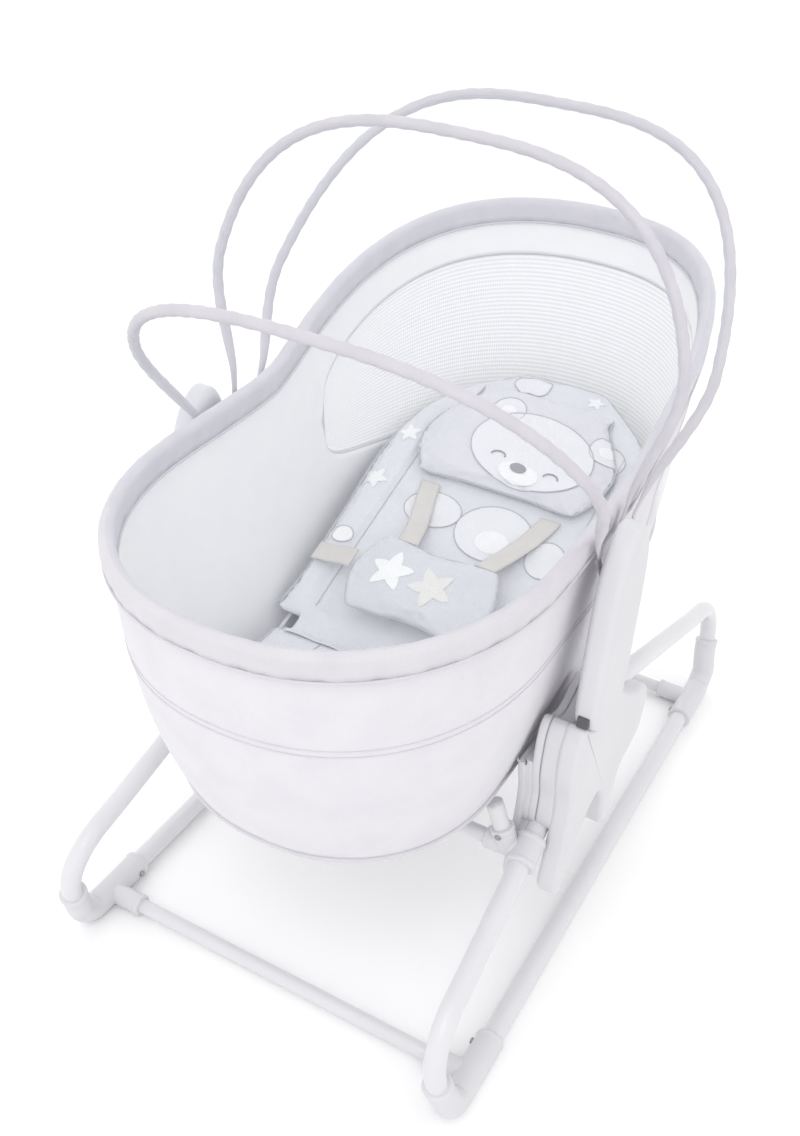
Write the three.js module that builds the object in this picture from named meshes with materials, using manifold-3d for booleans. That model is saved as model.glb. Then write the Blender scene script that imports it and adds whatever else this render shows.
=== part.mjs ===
// Baby cradle: a fabric basket with a padded rocker seat and a folding net canopy,
// carried by two side pods on a bent-tube stand. Millimetres, +Z up, +X to the
// baby's left, +Y towards the head end. The origin is on the floor under the middle.
import * as THREE from "three";
import { mergeVertices } from "three/addons/utils/BufferGeometryUtils.js";
import Module from "manifold-3d";

const wasm = await Module();
wasm.setup();

// ---- Driving dimensions ----
const GAP = 0.3; // running gap between pieces that touch
const TRACK = 230; // half the distance between the two side loops at the floor
const LEAN = 0.12; // how far a side loop leans inwards for each unit of height
const AXLE_Z = 13.5; // height of the floor tubes' centre line
const TUBE_R = 11; // side loop tube
const CROSS_R = 8; // cross tube
const SLEEVE_R = 14.5; // moulded connector round a side loop tube
const CROSS_Y = 345; // front and rear cross tubes, from the middle
const FLOOR_TUBE_END = 352; // where the straight floor tube ends in its connector
const APEX_GAP = 5; // half the gap between the two arch tubes inside the leg cover

const BASKET = { floorZ: 255, rimZ: 545, hoodRise: 112, hoodStart: -40, hoodRun: 400 };
const PLAN = { halfWidth: 207, foot: -450, head: 355, footCentre: -200, headCentre: 30 };
// How far each wall has come in at the floor: a steady lean, and a curve near the bottom.
const LEANS = { side: [12, 30], foot: [34, 38], head: [14, 30] };
const PLAN_POWER = 2.2; // squareness of the basket's round ends
const WALL = 4; // padded fabric wall
const RIM_R = 5; // steel rim frame
const BINDING = { half: 7, top: 7, skirt: 21 }; // fabric binding over the rim frame

const PIVOT = { y: -105, z: 470 }; // the axis that the three bows fold about
const BOWS = [
  { name: "bow_rear", angle: 51.2, reach: 450, half: 251, power: 3.0, end: 220 },
  { name: "bow_middle", angle: 82.7, reach: 376, half: 255, power: 2.9, end: 217.1 },
  { name: "bow_front", angle: 126.5, reach: 340, half: 246, power: 2.7, end: 214.2 },
];
const BOW_R = 4;
const BOW_FOOT = { x: 217.1, start: 72, widen: 150 }; // straight lower leg of a bow
const BOW_END = { thick: 2.4, width: 9, eye: 10 }; // flat end fitting round the pivot pin
const PIN_R = 4;

const POD = { inner: 222.5, outer: 250, y: -135, low: 372, half: 40, top: 560 };
const POST = { inner: 231, outer: 242, half: 18, top: 425, bottom: 336.5 };
const COVER = { inner: 181, split: 204, outer: 242 };

const SEAT = { hipY: -120, hipZ: 298, recline: 20.5, backLength: 462, footLength: 236, rise: 7 };
const PAD = 20; // thickness of the seat's padding
const SEAT_TUBE_R = 6;

// ---- Finishes ----
const finish = (color, roughness, metalness = 0) =>
  new THREE.MeshStandardMaterial({ color, roughness, metalness });
const POWDER_COAT = finish(0xeeeeef, 0.35, 0.1);
const WHITE_PLASTIC = finish(0xe9e9ea, 0.45);
const GREY_PLASTIC = finish(0x55555a, 0.5);
const STEEL = finish(0xb9babd, 0.35, 0.9);
const BASKET_FABRIC = finish(0xe6e4e8, 0.9);
const BINDING_FABRIC = finish(0xd8d5da, 0.9);
const MESH_FABRIC = finish(0xeceef2, 0.9);
const SEAT_FABRIC = finish(0xdddee2, 0.9);
const WEBBING = finish(0xdedad5, 0.85);

// ---- Geometry helpers ----
const V = (x, y, z) => new THREE.Vector3(x, y, z);
const radians = THREE.MathUtils.degToRad;
const steps = (n) => Array.from({ length: n + 1 }, (_, i) => i / n);
const smooth = (u) => u * u * (3 - 2 * u);
const power = (value, exponent) => Math.sign(value) * Math.abs(value) ** exponent;

// A manifold-3d solid of a closed geometry.
function solid(geometry) {
  const bare = geometry.index ? geometry.toNonIndexed() : geometry.clone();
  bare.deleteAttribute("normal");
  bare.deleteAttribute("uv");
  const merged = mergeVertices(bare, 1e-3);
  const made = new wasm.Manifold(
    new wasm.Mesh({
      numProp: 3,
      vertProperties: merged.attributes.position.array,
      triVerts: new Uint32Array(merged.index.array),
    }),
  );
  return made;
}

// The geometry of a manifold-3d solid.
function geometryOf(made) {
  const { vertProperties, triVerts } = made.getMesh();
  const geometry = new THREE.BufferGeometry();
  geometry.setAttribute("position", new THREE.BufferAttribute(vertProperties, 3));
  geometry.setIndex(new THREE.BufferAttribute(triVerts, 1));
  return geometry;
}

const cut = (geometry, ...tools) =>
  geometryOf(tools.reduce((rest, tool) => rest.subtract(solid(tool)), solid(geometry)));
const join = (geometry, ...others) =>
  geometryOf(others.reduce((whole, other) => whole.add(solid(other)), solid(geometry)));

// Skin over equal rings of points: a loop of rings if closed, else with flat end caps.
// The faces are turned outwards.
function skin(rings, closed = false) {
  const size = rings[0].length;
  const faces = [];
  const last = closed ? rings.length : rings.length - 1;
  for (let i = 0; i < last; i++) {
    const a = i * size;
    const b = ((i + 1) % rings.length) * size;
    for (let k = 0; k < size; k++) {
      const next = (k + 1) % size;
      faces.push(a + k, b + k, b + next, a + k, b + next, a + next);
    }
  }
  if (!closed) {
    const end = (rings.length - 1) * size;
    for (let k = 1; k < size - 1; k++) {
      faces.push(0, k, k + 1, end, end + k + 1, end + k);
    }
  }
  const points = rings.flat();
  const volume = faces.reduce((sum, _, i) => {
    if (i % 3) return sum;
    const [a, b, c] = [points[faces[i]], points[faces[i + 1]], points[faces[i + 2]]];
    return sum + a.dot(V(0, 0, 0).crossVectors(b, c));
  }, 0);
  if (volume < 0) faces.reverse();
  const geometry = new THREE.BufferGeometry().setFromPoints(points);
  geometry.setIndex(faces);
  return geometry;
}

// A cylinder from one point to another.
function rod(from, to, radius, sides = 12) {
  const axis = V(0, 0, 0).subVectors(to, from);
  const geometry = new THREE.CylinderGeometry(radius, radius, axis.length(), sides);
  const turn = new THREE.Quaternion().setFromUnitVectors(V(0, 1, 0), axis.normalize());
  geometry.applyQuaternion(turn);
  const middle = V(0, 0, 0).addVectors(from, to).multiplyScalar(0.5);
  return geometry.translate(middle.x, middle.y, middle.z);
}

// A hollow rod: the same with a bore right through.
const pipe = (from, to, radius, bore, sides = 12) => {
  const reach = V(0, 0, 0).subVectors(to, from).normalize();
  const start = from.clone().sub(reach);
  const stop = to.clone().add(reach);
  return cut(rod(from, to, radius, sides), rod(start, stop, bore, sides));
};

// Rings of a round bar along points that lie in one plane with the given normal.
function barRings(points, normal, radius, sides) {
  return points.map((point, i) => {
    const ahead = points[Math.min(i + 1, points.length - 1)];
    const behind = points[Math.max(i - 1, 0)];
    const along = V(0, 0, 0).subVectors(ahead, behind).normalize();
    const across = V(0, 0, 0).crossVectors(along, normal).normalize();
    return steps(sides).slice(0, sides).map((turn) => {
      const angle = 2 * Math.PI * turn;
      const out = normal.clone().multiplyScalar(Math.cos(angle));
      out.addScaledVector(across, Math.sin(angle));
      return point.clone().addScaledVector(out, radius);
    });
  });
}
const bar = (points, normal, radius, sides) => skin(barRings(points, normal, radius, sides));

// A plate: an outline in the plane across X, given as [y, z] points, from x0 to x1.
function plateX(outline, x0, x1, bevel = 0) {
  const shape = new THREE.Shape(outline.map(([y, z]) => new THREE.Vector2(y, z)));
  const geometry = new THREE.ExtrudeGeometry(shape, {
    depth: Math.abs(x1 - x0) - 2 * bevel,
    bevelEnabled: bevel > 0,
    bevelSize: bevel,
    bevelThickness: bevel,
    bevelOffset: -bevel,
    bevelSegments: 1,
  });
  geometry.translate(0, 0, Math.min(x0, x1) + bevel);
  const axes = new THREE.Matrix4().makeBasis(V(0, 1, 0), V(0, 0, 1), V(1, 0, 0));
  return geometry.applyMatrix4(axes);
}

const box = (x0, x1, y0, y1, z0, z1) =>
  new THREE.BoxGeometry(Math.abs(x1 - x0), y1 - y0, z1 - z0).translate(
    (x0 + x1) / 2,
    (y0 + y1) / 2,
    (z0 + z1) / 2,
  );

// Points of an arc in [y, z], from one angle to another in degrees.
const arc = (y, z, radius, from, to, count) =>
  steps(count).map((u) => {
    const angle = radians(from + (to - from) * u);
    return [y + radius * Math.cos(angle), z + radius * Math.sin(angle)];
  });

const cradle = new THREE.Group();
function add(name, geometry, material, side = 1) {
  const mesh = new THREE.Mesh(geometry, material);
  mesh.name = name;
  mesh.scale.x = side;
  cradle.add(mesh);
  return mesh;
}
// One piece on each side, the second a mirror image of the first.
function addPair(name, geometry, material) {
  add(name + "_left", geometry, material, 1);
  add(name + "_right", geometry, material, -1);
}

// ---- Stand: two leaning loops of tube, joined by connectors and cross tubes ----
const loopX = (z) => TRACK - LEAN * (z - AXLE_Z);
const loopNormal = V(1, 0, LEAN).normalize();

// Centre line of one arch tube in [y, z], from its connector up to the leg cover.
const ARCH_HAIRPIN = [
  [-397, 30], [-400, 50], [-407, 68], [-412, 88], [-409, 110], [-396, 129], [-374, 143],
];
const ARCH_START = [-335, 154.5];
const ARCH_SLOPE = 0.318;
const archZ = (y) => ARCH_START[1] + ARCH_SLOPE * (y - ARCH_START[0]);

function archPoints(end) {
  const bend = new THREE.CatmullRomCurve3(
    [...ARCH_HAIRPIN, ARCH_START, [end, archZ(end)]].map(([y, z]) => V(loopX(z), y, z)),
  );
  const hairpin = bend.getPoints(96);
  const last = V(loopX(archZ(end)), end, archZ(end));
  const bent = hairpin.filter((p, i) => i % 8 === 0 && p.y < ARCH_START[0] + 20);
  return [...bent, last];
}
const archLine = archPoints(-APEX_GAP);

// A hollow tube along planar points: the rings run round the wall of the tube.
function tubeAlong(points, normal, radius, bore, sides) {
  const outside = barRings(points, normal, radius, sides);
  const inside = barRings(points, normal, bore, sides).reverse();
  const around = steps(sides).slice(0, sides).map((_, k) =>
    [...outside, ...inside].map((ring) => ring[k]),
  );
  return skin(around, true);
}
const arch = tubeAlong(archLine, loopNormal, TUBE_R, TUBE_R - 1.5, 10);
const archBore = bar(archLine, loopNormal, TUBE_R + GAP, 10);

// The same piece at the other end of the stand: a mirror image along Y.
function otherEnd(geometry) {
  const mirrored = geometry.clone().scale(1, -1, 1);
  mirrored.setIndex(Array.from(mirrored.index.array).reverse());
  return mirrored;
}

addPair("front_arch_tube", arch, POWDER_COAT);
addPair("rear_arch_tube", otherEnd(arch), POWDER_COAT);

const floorTube = pipe(
  V(TRACK, -FLOOR_TUBE_END, AXLE_Z),
  V(TRACK, FLOOR_TUBE_END, AXLE_Z),
  TUBE_R,
  TUBE_R - 1.5,
);
addPair("floor_tube", floorTube, POWDER_COAT);

// Corner connector: a straight sleeve on the floor tube, an upturned socket for the
// arch tube, and a branch for the cross tube. Its underside is flat where it stands.
const BUTTON = { y: -308, r: 3.5, tip: 17.5, foot: 14 };
function cornerConnector() {
  const floorRun = [V(TRACK, -296, AXLE_Z), V(TRACK, -340, AXLE_Z)];
  const elbow = steps(4).map((u) => {
    const angle = radians(-90 - 72 * u);
    return V(TRACK, -366 + 30 * Math.cos(angle), AXLE_Z + 30 + 30 * Math.sin(angle));
  });
  const mouth = V(loopX(75), -409, 75);
  const sleeve = bar([...floorRun, ...elbow, mouth], V(1, 0, 0), SLEEVE_R, 12);
  const branch = rod(V(TRACK, -CROSS_Y, AXLE_Z), V(TRACK - 46, -CROSS_Y, AXLE_Z), 11.5);
  const under = box(TRACK - 60, TRACK + 30, -430, -250, -20, 0);
  const floorBore = rod(
    V(TRACK, -FLOOR_TUBE_END - GAP, AXLE_Z),
    V(TRACK, -250, AXLE_Z),
    TUBE_R + GAP,
  );
  const crossBore = rod(
    V(TRACK - 14, -CROSS_Y, AXLE_Z),
    V(TRACK - 60, -CROSS_Y, AXLE_Z),
    CROSS_R + GAP,
  );
  const buttonHole = rod(
    V(TRACK, BUTTON.y, AXLE_Z),
    V(TRACK - 20, BUTTON.y, AXLE_Z),
    BUTTON.r + GAP,
  );
  return cut(join(sleeve, branch), under, floorBore, crossBore, archBore, buttonHole);
}
const corner = cornerConnector();
addPair("front_connector", corner, WHITE_PLASTIC);
addPair("rear_connector", otherEnd(corner), WHITE_PLASTIC);

const crossTube = (y) =>
  pipe(V(-TRACK + 15, y, AXLE_Z), V(TRACK - 15, y, AXLE_Z), CROSS_R, CROSS_R - 1.2);
add("front_cross_tube", crossTube(-CROSS_Y), POWDER_COAT);
add("rear_cross_tube", crossTube(CROSS_Y), POWDER_COAT);

// Snap button that locks a connector to its tube.
function snapButton(from, to) {
  return rod(from, to, BUTTON.r);
}
const cornerButton = snapButton(
  V(TRACK - BUTTON.foot, BUTTON.y, AXLE_Z),
  V(TRACK - BUTTON.tip, BUTTON.y, AXLE_Z),
);
addPair("front_snap_button", cornerButton, STEEL);
addPair("rear_snap_button", otherEnd(cornerButton), STEEL);

// Tee connector on the front arch tube, with a branch for the middle cross tube and an
// upright socket for the strut that steadies the basket's floor.
const TEE = { y: -206, length: 34, branch: 44, r: 11.5, sleeve: 15 };
const teeCentre = V(loopX(archZ(TEE.y)), TEE.y, archZ(TEE.y));
const slope = V(-LEAN * ARCH_SLOPE, 1, ARCH_SLOPE).normalize();
const STRUT = { r: 9, top: 245.5, socket: 24 };
const strutFoot = V(teeCentre.x - 20, TEE.y, teeCentre.z);
const strutTop = V(168, TEE.y, STRUT.top);
const strutAxis = V(0, 0, 0).subVectors(strutTop, strutFoot).normalize();
const alongStrut = (d) => strutFoot.clone().addScaledVector(strutAxis, d);
const strutBore = rod(alongStrut(13), alongStrut(80), STRUT.r + GAP);
const midBore = rod(
  V(teeCentre.x - 15, TEE.y, teeCentre.z),
  V(teeCentre.x - 80, TEE.y, teeCentre.z),
  CROSS_R + GAP,
);
const tee = cut(
  join(
    rod(
      teeCentre.clone().addScaledVector(slope, -TEE.length / 2),
      teeCentre.clone().addScaledVector(slope, TEE.length / 2),
      TEE.sleeve,
    ),
    rod(teeCentre, V(teeCentre.x - TEE.branch, TEE.y, teeCentre.z), TEE.r),
    rod(strutFoot, alongStrut(STRUT.socket), STRUT.r + 3),
  ),
  archBore,
  midBore,
  strutBore,
  rod(alongStrut(19), alongStrut(19).add(V(0, -20, 0)), BUTTON.r + GAP),
);
addPair("tee_connector", tee, WHITE_PLASTIC);
add(
  "middle_cross_tube",
  pipe(
    V(-teeCentre.x + 16, TEE.y, teeCentre.z),
    V(teeCentre.x - 16, TEE.y, teeCentre.z),
    CROSS_R,
    CROSS_R - 1.2,
  ),
  POWDER_COAT,
);
const strut = cut(
  rod(alongStrut(13 + GAP), alongStrut(60), STRUT.r),
  box(100, 240, TEE.y - 20, TEE.y + 20, STRUT.top, STRUT.top + 60),
);
addPair("floor_strut", strut, POWDER_COAT);
const strutButton = snapButton(
  alongStrut(19).add(V(0, -STRUT.r - 2.2, 0)),
  alongStrut(19).add(V(0, -STRUT.r - 5.5, 0)),
);
addPair("strut_snap_button", strutButton, STEEL);

// ---- Leg covers: an outer and an inner half, clamped round the arch tubes ----
const coverOutline = [
  [-182, 352], [-190, 322], [-190, 290], [-180, 254], [-180, 215],
  ...arc(-178, 148, 17, 180, 340, 6), [-156, 178], ...arc(-106, 188, 20, 165, 15, 5),
  [-76, 176], ...arc(-50, 138, 17, 200, 360, 6), [-30, 186], ...arc(12, 216, 18, -70, 20, 3),
  [34, 240], ...arc(18, 256, 16, 0, 60, 2), [-38, 300], [-72, 330], [-90, 352],
];
const podSeat = rod(
  V(COVER.inner - 5, POD.y, POD.low),
  V(COVER.outer + 5, POD.y, POD.low),
  POD.half + 1,
  40,
);
const coverBody = plateX(coverOutline, COVER.inner, COVER.outer, 5);
const fingerSlot = box(190, 220.5, -210, -10, 90, 200);
const wallRelief = box(COVER.inner - 5, 194, -300, 300, 300, 420);

function legCover(x0, x1) {
  const half = solid(coverBody).intersect(solid(box(x0, x1, -300, 300, 50, 420)));
  return cut(geometryOf(half), archBore, otherEnd(archBore), fingerSlot, podSeat, wallRelief);
}
addPair("leg_cover_outer", legCover(COVER.split + GAP, 260), WHITE_PLASTIC);
addPair("leg_cover_inner", legCover(150, COVER.split), WHITE_PLASTIC);

// Post that the pod slides down over.
const postOutline = [
  [POD.y - POST.half, POST.bottom],
  [POD.y + POST.half, POST.bottom],
  [POD.y + POST.half, POST.top - 8],
  [POD.y + POST.half - 8, POST.top],
  [POD.y - POST.half + 8, POST.top],
  [POD.y - POST.half, POST.top - 8],
];
addPair("basket_post", plateX(postOutline, POST.inner, POST.outer), GREY_PLASTIC);

// ---- Side pods: tall rounded housings that carry the basket and hold the bow pivots ----
const podOutline = [
  ...arc(POD.y, POD.low, POD.half, 180, 360, 16),
  [POD.y + POD.half + 1, 470], [POD.y + POD.half - 3, 520], [POD.y + POD.half - 14, 548],
  ...arc(POD.y + 12, POD.top - 12, 12, 50, 130, 3), [POD.y - 22, 540],
  [POD.y - POD.half + 6, 505], [POD.y - POD.half, 450],
];
const LATCH = { z0: 352, z1: 366, x0: 229, x1: 242 };
const podFront = POD.y - POD.half;
const pod = cut(
  plateX(podOutline, POD.inner, POD.outer, 6),
  box(
    POST.inner - 0.6, POST.outer + 0.6,
    POD.y - POST.half - 0.6, POD.y + POST.half + 0.6, 300, POST.top + 1,
  ),
  box(LATCH.x0, LATCH.x1, podFront - 20, podFront + 19, LATCH.z0, LATCH.z1),
  rod(V(220, PIVOT.y, PIVOT.z), V(238, PIVOT.y, PIVOT.z), PIN_R + GAP),
);
addPair("side_pod", pod, WHITE_PLASTIC);
const latchButton = plateX(
  [
    [podFront + 4, LATCH.z0 + 0.6], [podFront + 14, LATCH.z0 + 0.6],
    [podFront + 14, LATCH.z1 - 0.6], [podFront + 4, LATCH.z1 - 0.6],
    [podFront + 1, LATCH.z1 - 3], [podFront + 1, LATCH.z0 + 3],
  ],
  LATCH.x0 + 0.6,
  LATCH.x1 - 0.6,
);
addPair("latch_button", latchButton, GREY_PLASTIC);
addPair(
  "bow_pivot_pin",
  rod(V(211.5, PIVOT.y, PIVOT.z), V(237.5, PIVOT.y, PIVOT.z), PIN_R),
  STEEL,
);

// ---- Basket: an oval tub whose rim rises into a hood at the head end ----
function span(z) {
  const depth = (BASKET.rimZ - z) / (BASKET.rimZ - BASKET.floorZ);
  const inwards = ([lean, curve]) => lean * depth + curve * Math.max(0, depth) ** 3;
  return {
    half: PLAN.halfWidth - inwards(LEANS.side),
    foot: PLAN.foot + inwards(LEANS.foot),
    head: PLAN.head - inwards(LEANS.head),
  };
}

// Point of the plan outline at a height. s goes 0-1 round the foot end, 1-2 up the left
// side, 2-3 round the head end and 3-4 back down the right side.
function outline(z, s, inset = 0) {
  const at = span(z);
  const half = at.half - inset;
  const quarter = Math.floor(s) % 4;
  const u = s - Math.floor(s);
  const angle = Math.PI * u;
  const across = half * power(Math.cos(angle), 2 / PLAN_POWER);
  const along = Math.abs(Math.sin(angle)) ** (2 / PLAN_POWER);
  const straight = PLAN.footCentre + (PLAN.headCentre - PLAN.footCentre) * u;
  if (quarter === 0) {
    return V(-across, PLAN.footCentre + (at.foot + inset - PLAN.footCentre) * along, z);
  }
  if (quarter === 1) return V(half, straight, z);
  if (quarter === 2) {
    return V(across, PLAN.headCentre + (at.head - inset - PLAN.headCentre) * along, z);
  }
  return V(-half, PLAN.footCentre + PLAN.headCentre - straight, z);
}

// Height of the rim at a distance along the basket: level, then rising into the hood.
function rimHeight(y) {
  const distance = y - BASKET.hoodStart;
  const eased = (Math.sqrt(distance * distance + 625) + distance) / 2;
  const u = Math.min(1, eased / BASKET.hoodRun);
  return BASKET.rimZ + BASKET.hoodRise * (1 - (1 - u) ** 2);
}
function rimZ(s) {
  let z = BASKET.rimZ;
  for (let i = 0; i < 5; i++) z = rimHeight(outline(z, s).y);
  return z;
}

const ENDS = steps(13).slice(0, 13);
const SIDES = steps(5).slice(0, 5);
const AROUND = [
  ...ENDS, ...SIDES.map((u) => 1 + u), ...ENDS.map((u) => 2 + u), ...SIDES.map((u) => 3 + u),
];

// Section of the wall at s: up the outside and down the inside.
function wallRing(s, outer, inner, low, high, levels = [0, 1]) {
  const heights = levels.map((v) => low + (high - low) * v);
  const up = heights.map((z) => outline(z, s, outer));
  const down = heights.map((z) => outline(z, s, inner)).reverse();
  return [...up, ...down];
}
const WALL_TOP = 8; // below the rim line, where the wall meets the rim frame
const fullWall = skin(
  AROUND.map((s) =>
    wallRing(s, 0, WALL, BASKET.floorZ, rimZ(s) - WALL_TOP, [0, 0.16, 0.42, 1]),
  ),
  true,
);

// The mesh window round the head end, as a strip of wall with rounded ends.
const WINDOW = { from: 2.015, to: 2.985, bottom: 378, below: 60, power: 5 };
function windowStrip(outer, inner, shrink) {
  return steps(22).map((v) => {
    const u = (1 - Math.cos(Math.PI * v)) / 2; // close together near the ends
    const s = WINDOW.from + (WINDOW.to - WINDOW.from) * u;
    const q = Math.min(0.99, Math.abs(2 * u - 1));
    const squeeze = (1 - q ** WINDOW.power) ** (1 / WINDOW.power);
    const top = rimZ(s) - WINDOW.below;
    const middle = (top + WINDOW.bottom) / 2;
    const half = ((top - WINDOW.bottom) / 2) * squeeze - shrink;
    return wallRing(s, outer, inner, middle - half, middle + half);
  });
}
add("basket_wall", cut(fullWall, skin(windowStrip(-6, WALL + 6, 0))), BASKET_FABRIC);
add("mesh_window", skin(windowStrip(1, 2.4, 0.8).slice(2, -2)), MESH_FABRIC);

const floorRing = (z, inset) => AROUND.map((s) => outline(BASKET.floorZ, s, inset).setZ(z));
add(
  "basket_floor_board",
  skin([floorRing(BASKET.floorZ - 8, 3), floorRing(BASKET.floorZ - GAP, 0)]),
  BASKET_FABRIC,
);

// The rim frame and the binding that wraps it, as sections carried round the rim.
function rimRing(s, section) {
  const z = rimZ(s);
  const outward = outline(z, s, -10).sub(outline(z, s, 0)).setZ(0).normalize();
  return section.map(([out, up]) =>
    outline(z + up, s, WALL / 2).addScaledVector(outward, out),
  );
}
const circle = (radius, sides) =>
  steps(sides).slice(0, sides).map((u) => [
    radius * Math.cos(2 * Math.PI * u),
    radius * Math.sin(2 * Math.PI * u),
  ]);
add("rim_frame", skin(AROUND.map((s) => rimRing(s, circle(RIM_R, 6))), true), STEEL);
const { half: bindHalf, top: bindTop, skirt } = BINDING;
const bindingSection = [
  [bindHalf, -skirt], [bindHalf, 2], [bindHalf - 2.5, bindTop], [2.5 - bindHalf, bindTop],
  [-bindHalf, 2], [-bindHalf, -skirt], [-RIM_R - 0.6, -skirt], [-RIM_R - 0.6, 0],
  [-3.8, RIM_R + 0.6], [3.8, RIM_R + 0.6], [RIM_R + 0.6, 0], [RIM_R + 0.6, -skirt],
];
add("rim_binding", skin(AROUND.map((s) => rimRing(s, bindingSection)), true), BINDING_FABRIC);

// ---- Net canopy: three bows on one pivot axis, and the net between them ----
const bowOutward = (bow) => V(0, Math.cos(radians(bow.angle)), Math.sin(radians(bow.angle)));
const bowPlace = (bow, x, r) =>
  V(x, PIVOT.y, PIVOT.z).addScaledVector(bowOutward(bow), r);

// Point of a bow's centre line, t = 0 at the left foot and 1 at the right foot.
function bowPoint(bow, t) {
  const angle = Math.PI * t;
  const { x, start, widen } = BOW_FOOT;
  const r = start + (bow.reach - start) * Math.abs(Math.sin(angle)) ** (2 / bow.power);
  const spread = x + (bow.half - x) * smooth(Math.min(1, (r - start) / widen));
  return bowPlace(bow, spread * power(Math.cos(angle), 2 / bow.power), r);
}
const BOW_STEPS = steps(26).map((u) => u - 0.045 * Math.sin(4 * Math.PI * u));

// Flat fitting that joins a bow's foot to the pivot pin.
function bowEnd(bow, side) {
  const x0 = side * (bow.end - BOW_END.thick / 2);
  const x1 = side * (bow.end + BOW_END.thick / 2);
  const place = (r, across) => {
    const out = bowOutward(bow);
    return [
      PIVOT.y + out.y * r - out.z * across,
      PIVOT.z + out.z * r + out.y * across,
    ];
  };
  const half = BOW_END.width / 2;
  const round = arc(0, 0, BOW_END.eye, 40, 320, 12).map(([r, across]) => place(r, across));
  const strap = [place(BOW_FOOT.start + 3, -half), place(BOW_FOOT.start + 3, half)];
  const plate = plateX([...round, ...strap], x0, x1);
  const hole = rod(
    V(side * 205, PIVOT.y, PIVOT.z),
    V(side * 240, PIVOT.y, PIVOT.z),
    PIN_R + GAP,
  );
  return cut(plate, hole);
}
for (const bow of BOWS) {
  const points = BOW_STEPS.map((t) => bowPoint(bow, t));
  const normal = V(0, 0, 0).crossVectors(V(1, 0, 0), bowOutward(bow)).normalize();
  const hoop = bar(points, normal, BOW_R, 6);
  add(bow.name, join(hoop, bowEnd(bow, 1), bowEnd(bow, -1)), BINDING_FABRIC);
}

// A net panel: a thin curved sheet between two edges, kept clear of both. Its thickness
// lies across the sheet everywhere, even where the two edges run in different directions.
const NET = { thick: 1, start: 0.12, clear: 9 };
const NET_ROWS = steps(3);
function netPanel(edgeA, edgeB, clearA, clearB) {
  const tangent = (edge, t) => edge(t + 0.01).sub(edge(t - 0.01)).normalize();
  const rings = steps(26).map((u) => {
    const t = NET.start + (1 - 2 * NET.start) * u;
    const [a, b] = [edgeA(t), edgeB(t)];
    const across = V(0, 0, 0).subVectors(b, a);
    const width = across.length();
    const line = (offset) =>
      NET_ROWS.map((v) => {
        const share = (clearA + (width - clearA - clearB) * v) / width;
        const along = tangent(edgeA, t).lerp(tangent(edgeB, t), share);
        const outward = V(0, 0, 0).crossVectors(across, along).normalize();
        return a.clone().addScaledVector(across, share).addScaledVector(outward, offset);
      });
    return [...line(-NET.thick / 2), ...line(NET.thick / 2).reverse()];
  });
  return skin(rings);
}
const [REAR, MIDDLE, FRONT] = BOWS;
const edgeOf = (bow) => (t) => bowPoint(bow, t);
const hoodEdge = (t) => rimRing(1.9 + 1.2 * t, [[0, bindTop + 3]])[0];
const footEdge = (t) => rimRing((5 - t) % 4, [[2, bindTop + 4]])[0];
add("net_rear", netPanel(edgeOf(REAR), hoodEdge, NET.clear, 2), MESH_FABRIC);
add("net_middle", netPanel(edgeOf(MIDDLE), edgeOf(REAR), NET.clear, NET.clear), MESH_FABRIC);
add("net_front", netPanel(edgeOf(FRONT), edgeOf(MIDDLE), NET.clear, NET.clear), MESH_FABRIC);
add("net_foot", netPanel(footEdge, edgeOf(FRONT), 2, NET.clear), MESH_FABRIC);

// ---- Rocker seat lying in the basket ----
const backDirection = V(0, Math.cos(radians(SEAT.recline)), Math.sin(radians(SEAT.recline)));
const backNormal = V(0, -backDirection.z, backDirection.y);
const seatDirection = V(0, -Math.cos(radians(SEAT.rise)), Math.sin(radians(SEAT.rise)));
const seatNormal = V(0, seatDirection.z, -seatDirection.y);
const hip = V(0, SEAT.hipY, SEAT.hipZ);

// Place on the top of the seat or back: across, distance from the hip, height above.
const onBack = (x, d, up = 0) =>
  hip.clone().addScaledVector(backDirection, d).addScaledVector(backNormal, up).setX(x);
const onSeat = (x, d, up = 0) =>
  hip.clone().addScaledVector(seatDirection, d).addScaledVector(seatNormal, up).setX(x);

// A pad: a rounded slab along the seat or the back, with its half-width at each place.
function pad(place, from, to, halfWidth, top, bottom) {
  const rings = steps(9).map((u) => {
    const d = from + (to - from) * u;
    const edge = Math.min(1, 0.72 + 5 * Math.min(u, 1 - u));
    const middle = (top + bottom) / 2;
    const half = ((top - bottom) / 2) * edge;
    return steps(12).slice(0, 12).map((turn) => {
      const angle = 2 * Math.PI * turn;
      const x = halfWidth(u) * power(Math.cos(angle), 0.5);
      return place(x, d, middle + half * power(Math.sin(angle), 0.6));
    });
  });
  return skin(rings);
}
const headRound = (u) => 166 + 22 * u - 128 * Math.max(0, (u - 0.5) / 0.5) ** 2.8;
const footRound = (u) => 150 - 28 * u - 62 * Math.max(0, (u - 0.5) / 0.5) ** 2.4;
add("back_pad", pad(onBack, 9, SEAT.backLength, headRound, 0, -PAD), SEAT_FABRIC);
add("seat_pad", pad(onSeat, 9, SEAT.footLength, footRound, 0, -PAD), SEAT_FABRIC);
const pillowRound = (u) => 92 + 38 * Math.sin(Math.PI * Math.min(1, u + 0.12));
add("head_pillow", pad(onBack, 244, 412, pillowRound, 16, 0.6), SEAT_FABRIC);

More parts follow.
